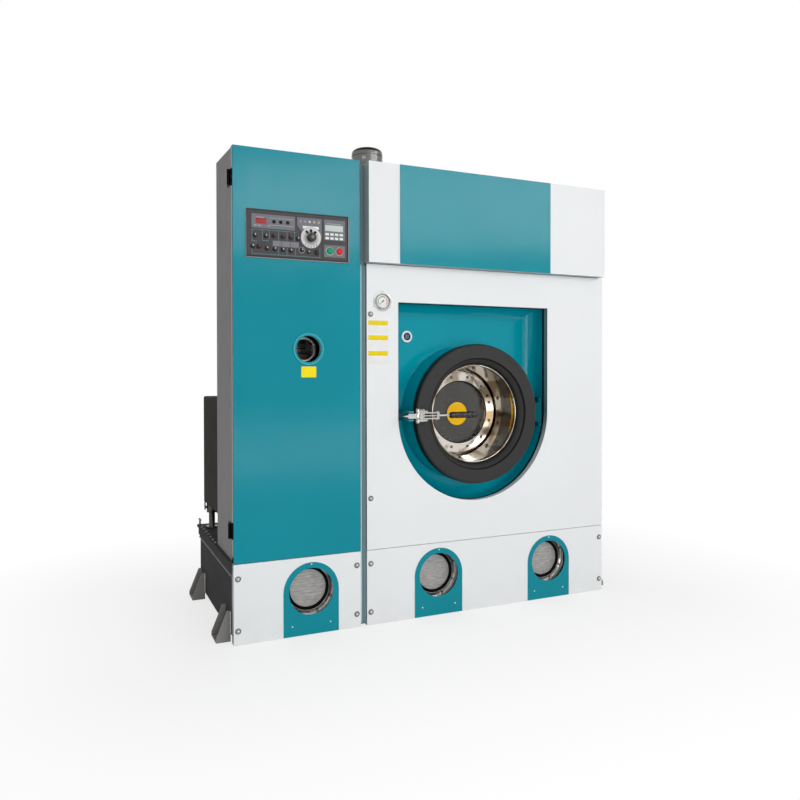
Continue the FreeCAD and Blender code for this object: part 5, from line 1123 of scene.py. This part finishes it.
def make_gap_beads():
    """Beads down both edges of the strip between column and cabinet; the pale one is a painted highlight
    along the strip's lit edge.
    """
    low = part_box("cabinet_shell")[0]
    panel_low, panel_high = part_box("front_panel")
    strip_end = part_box("fascia_panel")[0].x - 2 * MM
    length = (panel_high.z - low.z) / MM - 8
    # The pale bead is a painted highlight on the strip's lit edge.
    for name, x, y, radius in (
        ("highlight_bead", low.x + 3.4 * MM, low.y, 3.2),
        ("grey_bead", (strip_end + panel_low.x) / 2, low.y + 3.0 * MM, 4.2),
    ):
        profile = [(0, 0), (radius * 0.7, radius * 0.3)]
        for step in range(1, BEAD_STEPS):
            wave = BEAD_WAVE * math.sin(step * 0.9) * math.sin(step * 0.23)
            profile.append((radius + wave, length * step / BEAD_STEPS))
        profile += [(radius * 0.7, length - radius * 0.3), (0, length)]
        bead = bmesh.new()
        lathe(bead, (x, y, low.z + 4 * MM), UP, profile, 16)
        piece(name, bead, name, "machine")


def make_rear_fittings():
    """Screws of the rear cover, the rear box and the cabinet's right side, and the cowl's bolt."""
    low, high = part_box("rear_cover")
    columns, rows = stations(low.x, high.x, 12, 8), stations(low.z, high.z, 12, 10)
    places = [(x, high.y, z) for x in columns for z in (rows[0], rows[-1])]
    places += [(x, high.y, z) for z in rows[1:-1] for x in (columns[0], columns[-1])]
    low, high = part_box("rear_box")
    for z in stations(low.z, high.z, 25, 2):
        places += [(x, high.y, z) for x in stations(low.x, high.x, 20, 1)]
    fasteners("rear_screws", screw_head, places, BACK, (5.5, 3.0), "ground")
    low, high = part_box("cabinet_shell")
    rows = stations(low.z, high.z, 25, 9)
    places = [(high.x, y, z) for z in rows for y in stations(low.y, high.y, 14, 1)]
    fasteners("side_screws", screw_head, places, RIGHT, (5.0, 2.6), "ground")
    axis = middle("fan_motor")
    toward = Vector((-0.55, -0.83, 0)).normalized()
    base = Vector((axis.x, axis.y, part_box("fan_motor")[1].z - COWL_BOLT_DROP))
    fasteners("cowl_bolt", hex_head, [base + toward * COWL_BOLT_REACH], toward, (6.5, 6), "cap")


def make_rear_plate():
    """Bare riveted plate on the back."""
    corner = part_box("rear_cover")[1]
    face = corner.y + 1.0 * MM
    right, top = corner.x - REAR_PLATE_INSET[0], corner.z - REAR_PLATE_INSET[1]
    left, bottom = right - REAR_PLATE_SIZE[0], top - REAR_PLATE_SIZE[1]
    block("bare_rear_plate", (left, corner.y - 0.1 * MM, bottom), (right, face, top), 0.3,
          "aluminium", "machine")
    rivets = bmesh.new()
    for x in stations(left, right, 8, 1):
        for z in stations(bottom, top, 8, 1):
            lathe(rivets, (x, face, z), BACK, [(3.2, -0.2), (3.2, 0.6), (2.2, 1.4), (0, 1.6)], 20)
    piece("bare_rear_plate_rivets", rivets, "ground")


# Stage

def make_stage():
    """Pale floor, white surroundings, soft lights and the photograph's camera."""
    scene = bpy.context.scene
    scene.view_settings.view_transform = "Standard"
    bm = bmesh.new()
    bmesh.ops.create_grid(bm, x_segments=1, y_segments=1, size=30.0)
    mesh = bpy.data.meshes.new("floor")
    bm.to_mesh(mesh)
    bm.free()
    floor = bpy.data.objects.new("floor", mesh)
    scene.collection.objects.link(floor)
    floor.location.z = -0.5 * MM
    mesh.materials.append(floor_material())
    make_world(scene)
    for light in LIGHTS:
        soft_light(*light)
    data = bpy.data.cameras.new("camera")
    camera = bpy.data.objects.new("camera", data)
    scene.collection.objects.link(camera)
    camera.location = CAMERA_PLACE
    camera.rotation_euler = [math.radians(a) for a in (90 + CAMERA_PITCH, CAMERA_ROLL, -CAMERA_YAW)]
    data.sensor_width = CAMERA_SENSOR
    data.lens = CAMERA_LENS
    data.shift_x, data.shift_y = CAMERA_SHIFT
    scene.camera = camera


def soft_light(name, place, target, size, power):
    """Rectangular lamp that looks at a target."""
    data = bpy.data.lights.new(name, "AREA")
    data.energy = power
    data.shape = "RECTANGLE"
    data.size, data.size_y = size
    light = bpy.data.objects.new(name, data)
    bpy.context.scene.collection.objects.link(light)
    light.location = place
    light.rotation_euler = (Vector(target) - Vector(place)).to_track_quat("-Z", "Y").to_euler()


def seen_rays(tree):
    """1 for rays from the camera and through gloss or glass."""
    path = tree.nodes.new("ShaderNodeLightPath")
    total = path.outputs["Is Camera Ray"]
    for name in ("Is Glossy Ray", "Is Transmission Ray"):
        pick = tree.nodes.new("ShaderNodeMath")
        pick.operation = "MAXIMUM"
        tree.links.new(total, pick.inputs[0])
        tree.links.new(path.outputs[name], pick.inputs[1])
        total = pick.outputs[0]
    return total


def floor_material():
    """Pale floor that keeps the shadow near the machine and goes to white away from it."""
    finish = Finish("pale_floor", (0.80, 0.80, 0.80, 1.0), 0.8, Specular_IOR_Level=0.1)
    edge = CAD_BOX[1]
    reach = finish.node("VectorMath", {0: finish.place}, operation="ABSOLUTE").outputs["Vector"]
    for operation, value in (("SUBTRACT", (edge[0], edge[1], 0)), ("MAXIMUM", (0, 0, 0))):
        reach = finish.node("VectorMath", {0: reach, 1: value}, operation=operation).outputs["Vector"]
    away = finish.node("VectorMath", {0: reach}, operation="LENGTH").outputs["Value"]
    fade = finish.spread(away, FLOOR_WHITE_NEAR, 1.0, 0.0, FLOOR_WHITE_AT)
    seen = finish.compute("MULTIPLY", fade, seen_rays(finish.tree))
    glow = finish.node("Emission").outputs[0]
    mix = finish.node("MixShader", {0: seen, 1: finish.shader.outputs[0], 2: glow})
    finish.link(mix.outputs[0], finish.tree.nodes["Material Output"].inputs["Surface"])
    return finish.material


def make_world(scene):
    """White surroundings where they are seen, dimmer as a light."""
    world = bpy.data.worlds.new("studio")
    scene.world = world
    world.use_nodes = True
    tree = world.node_tree
    background = tree.nodes["Background"]
    background.inputs["Color"].default_value = (1, 1, 1, 1)
    strength = tree.nodes.new("ShaderNodeMapRange")
    strength.inputs["To Min"].default_value = WORLD_LIGHT
    strength.inputs["To Max"].default_value = 1.0
    tree.links.new(seen_rays(tree), strength.inputs["Value"])
    tree.links.new(strength.outputs["Result"], background.inputs["Strength"])


dress_nodes()
make_control_panel()
make_gauge()
make_plates()
make_sight_fittings()
make_bolt_washers()
make_door_fittings()
make_clamp_fittings()
make_recess_gap_shade()
make_lid_bolts()
make_tank_ridge()
make_welds()
make_still_sight()
make_hinge_screws()
make_gap_beads()
make_rear_fittings()
make_rear_plate()
make_button_face()
make_stage()
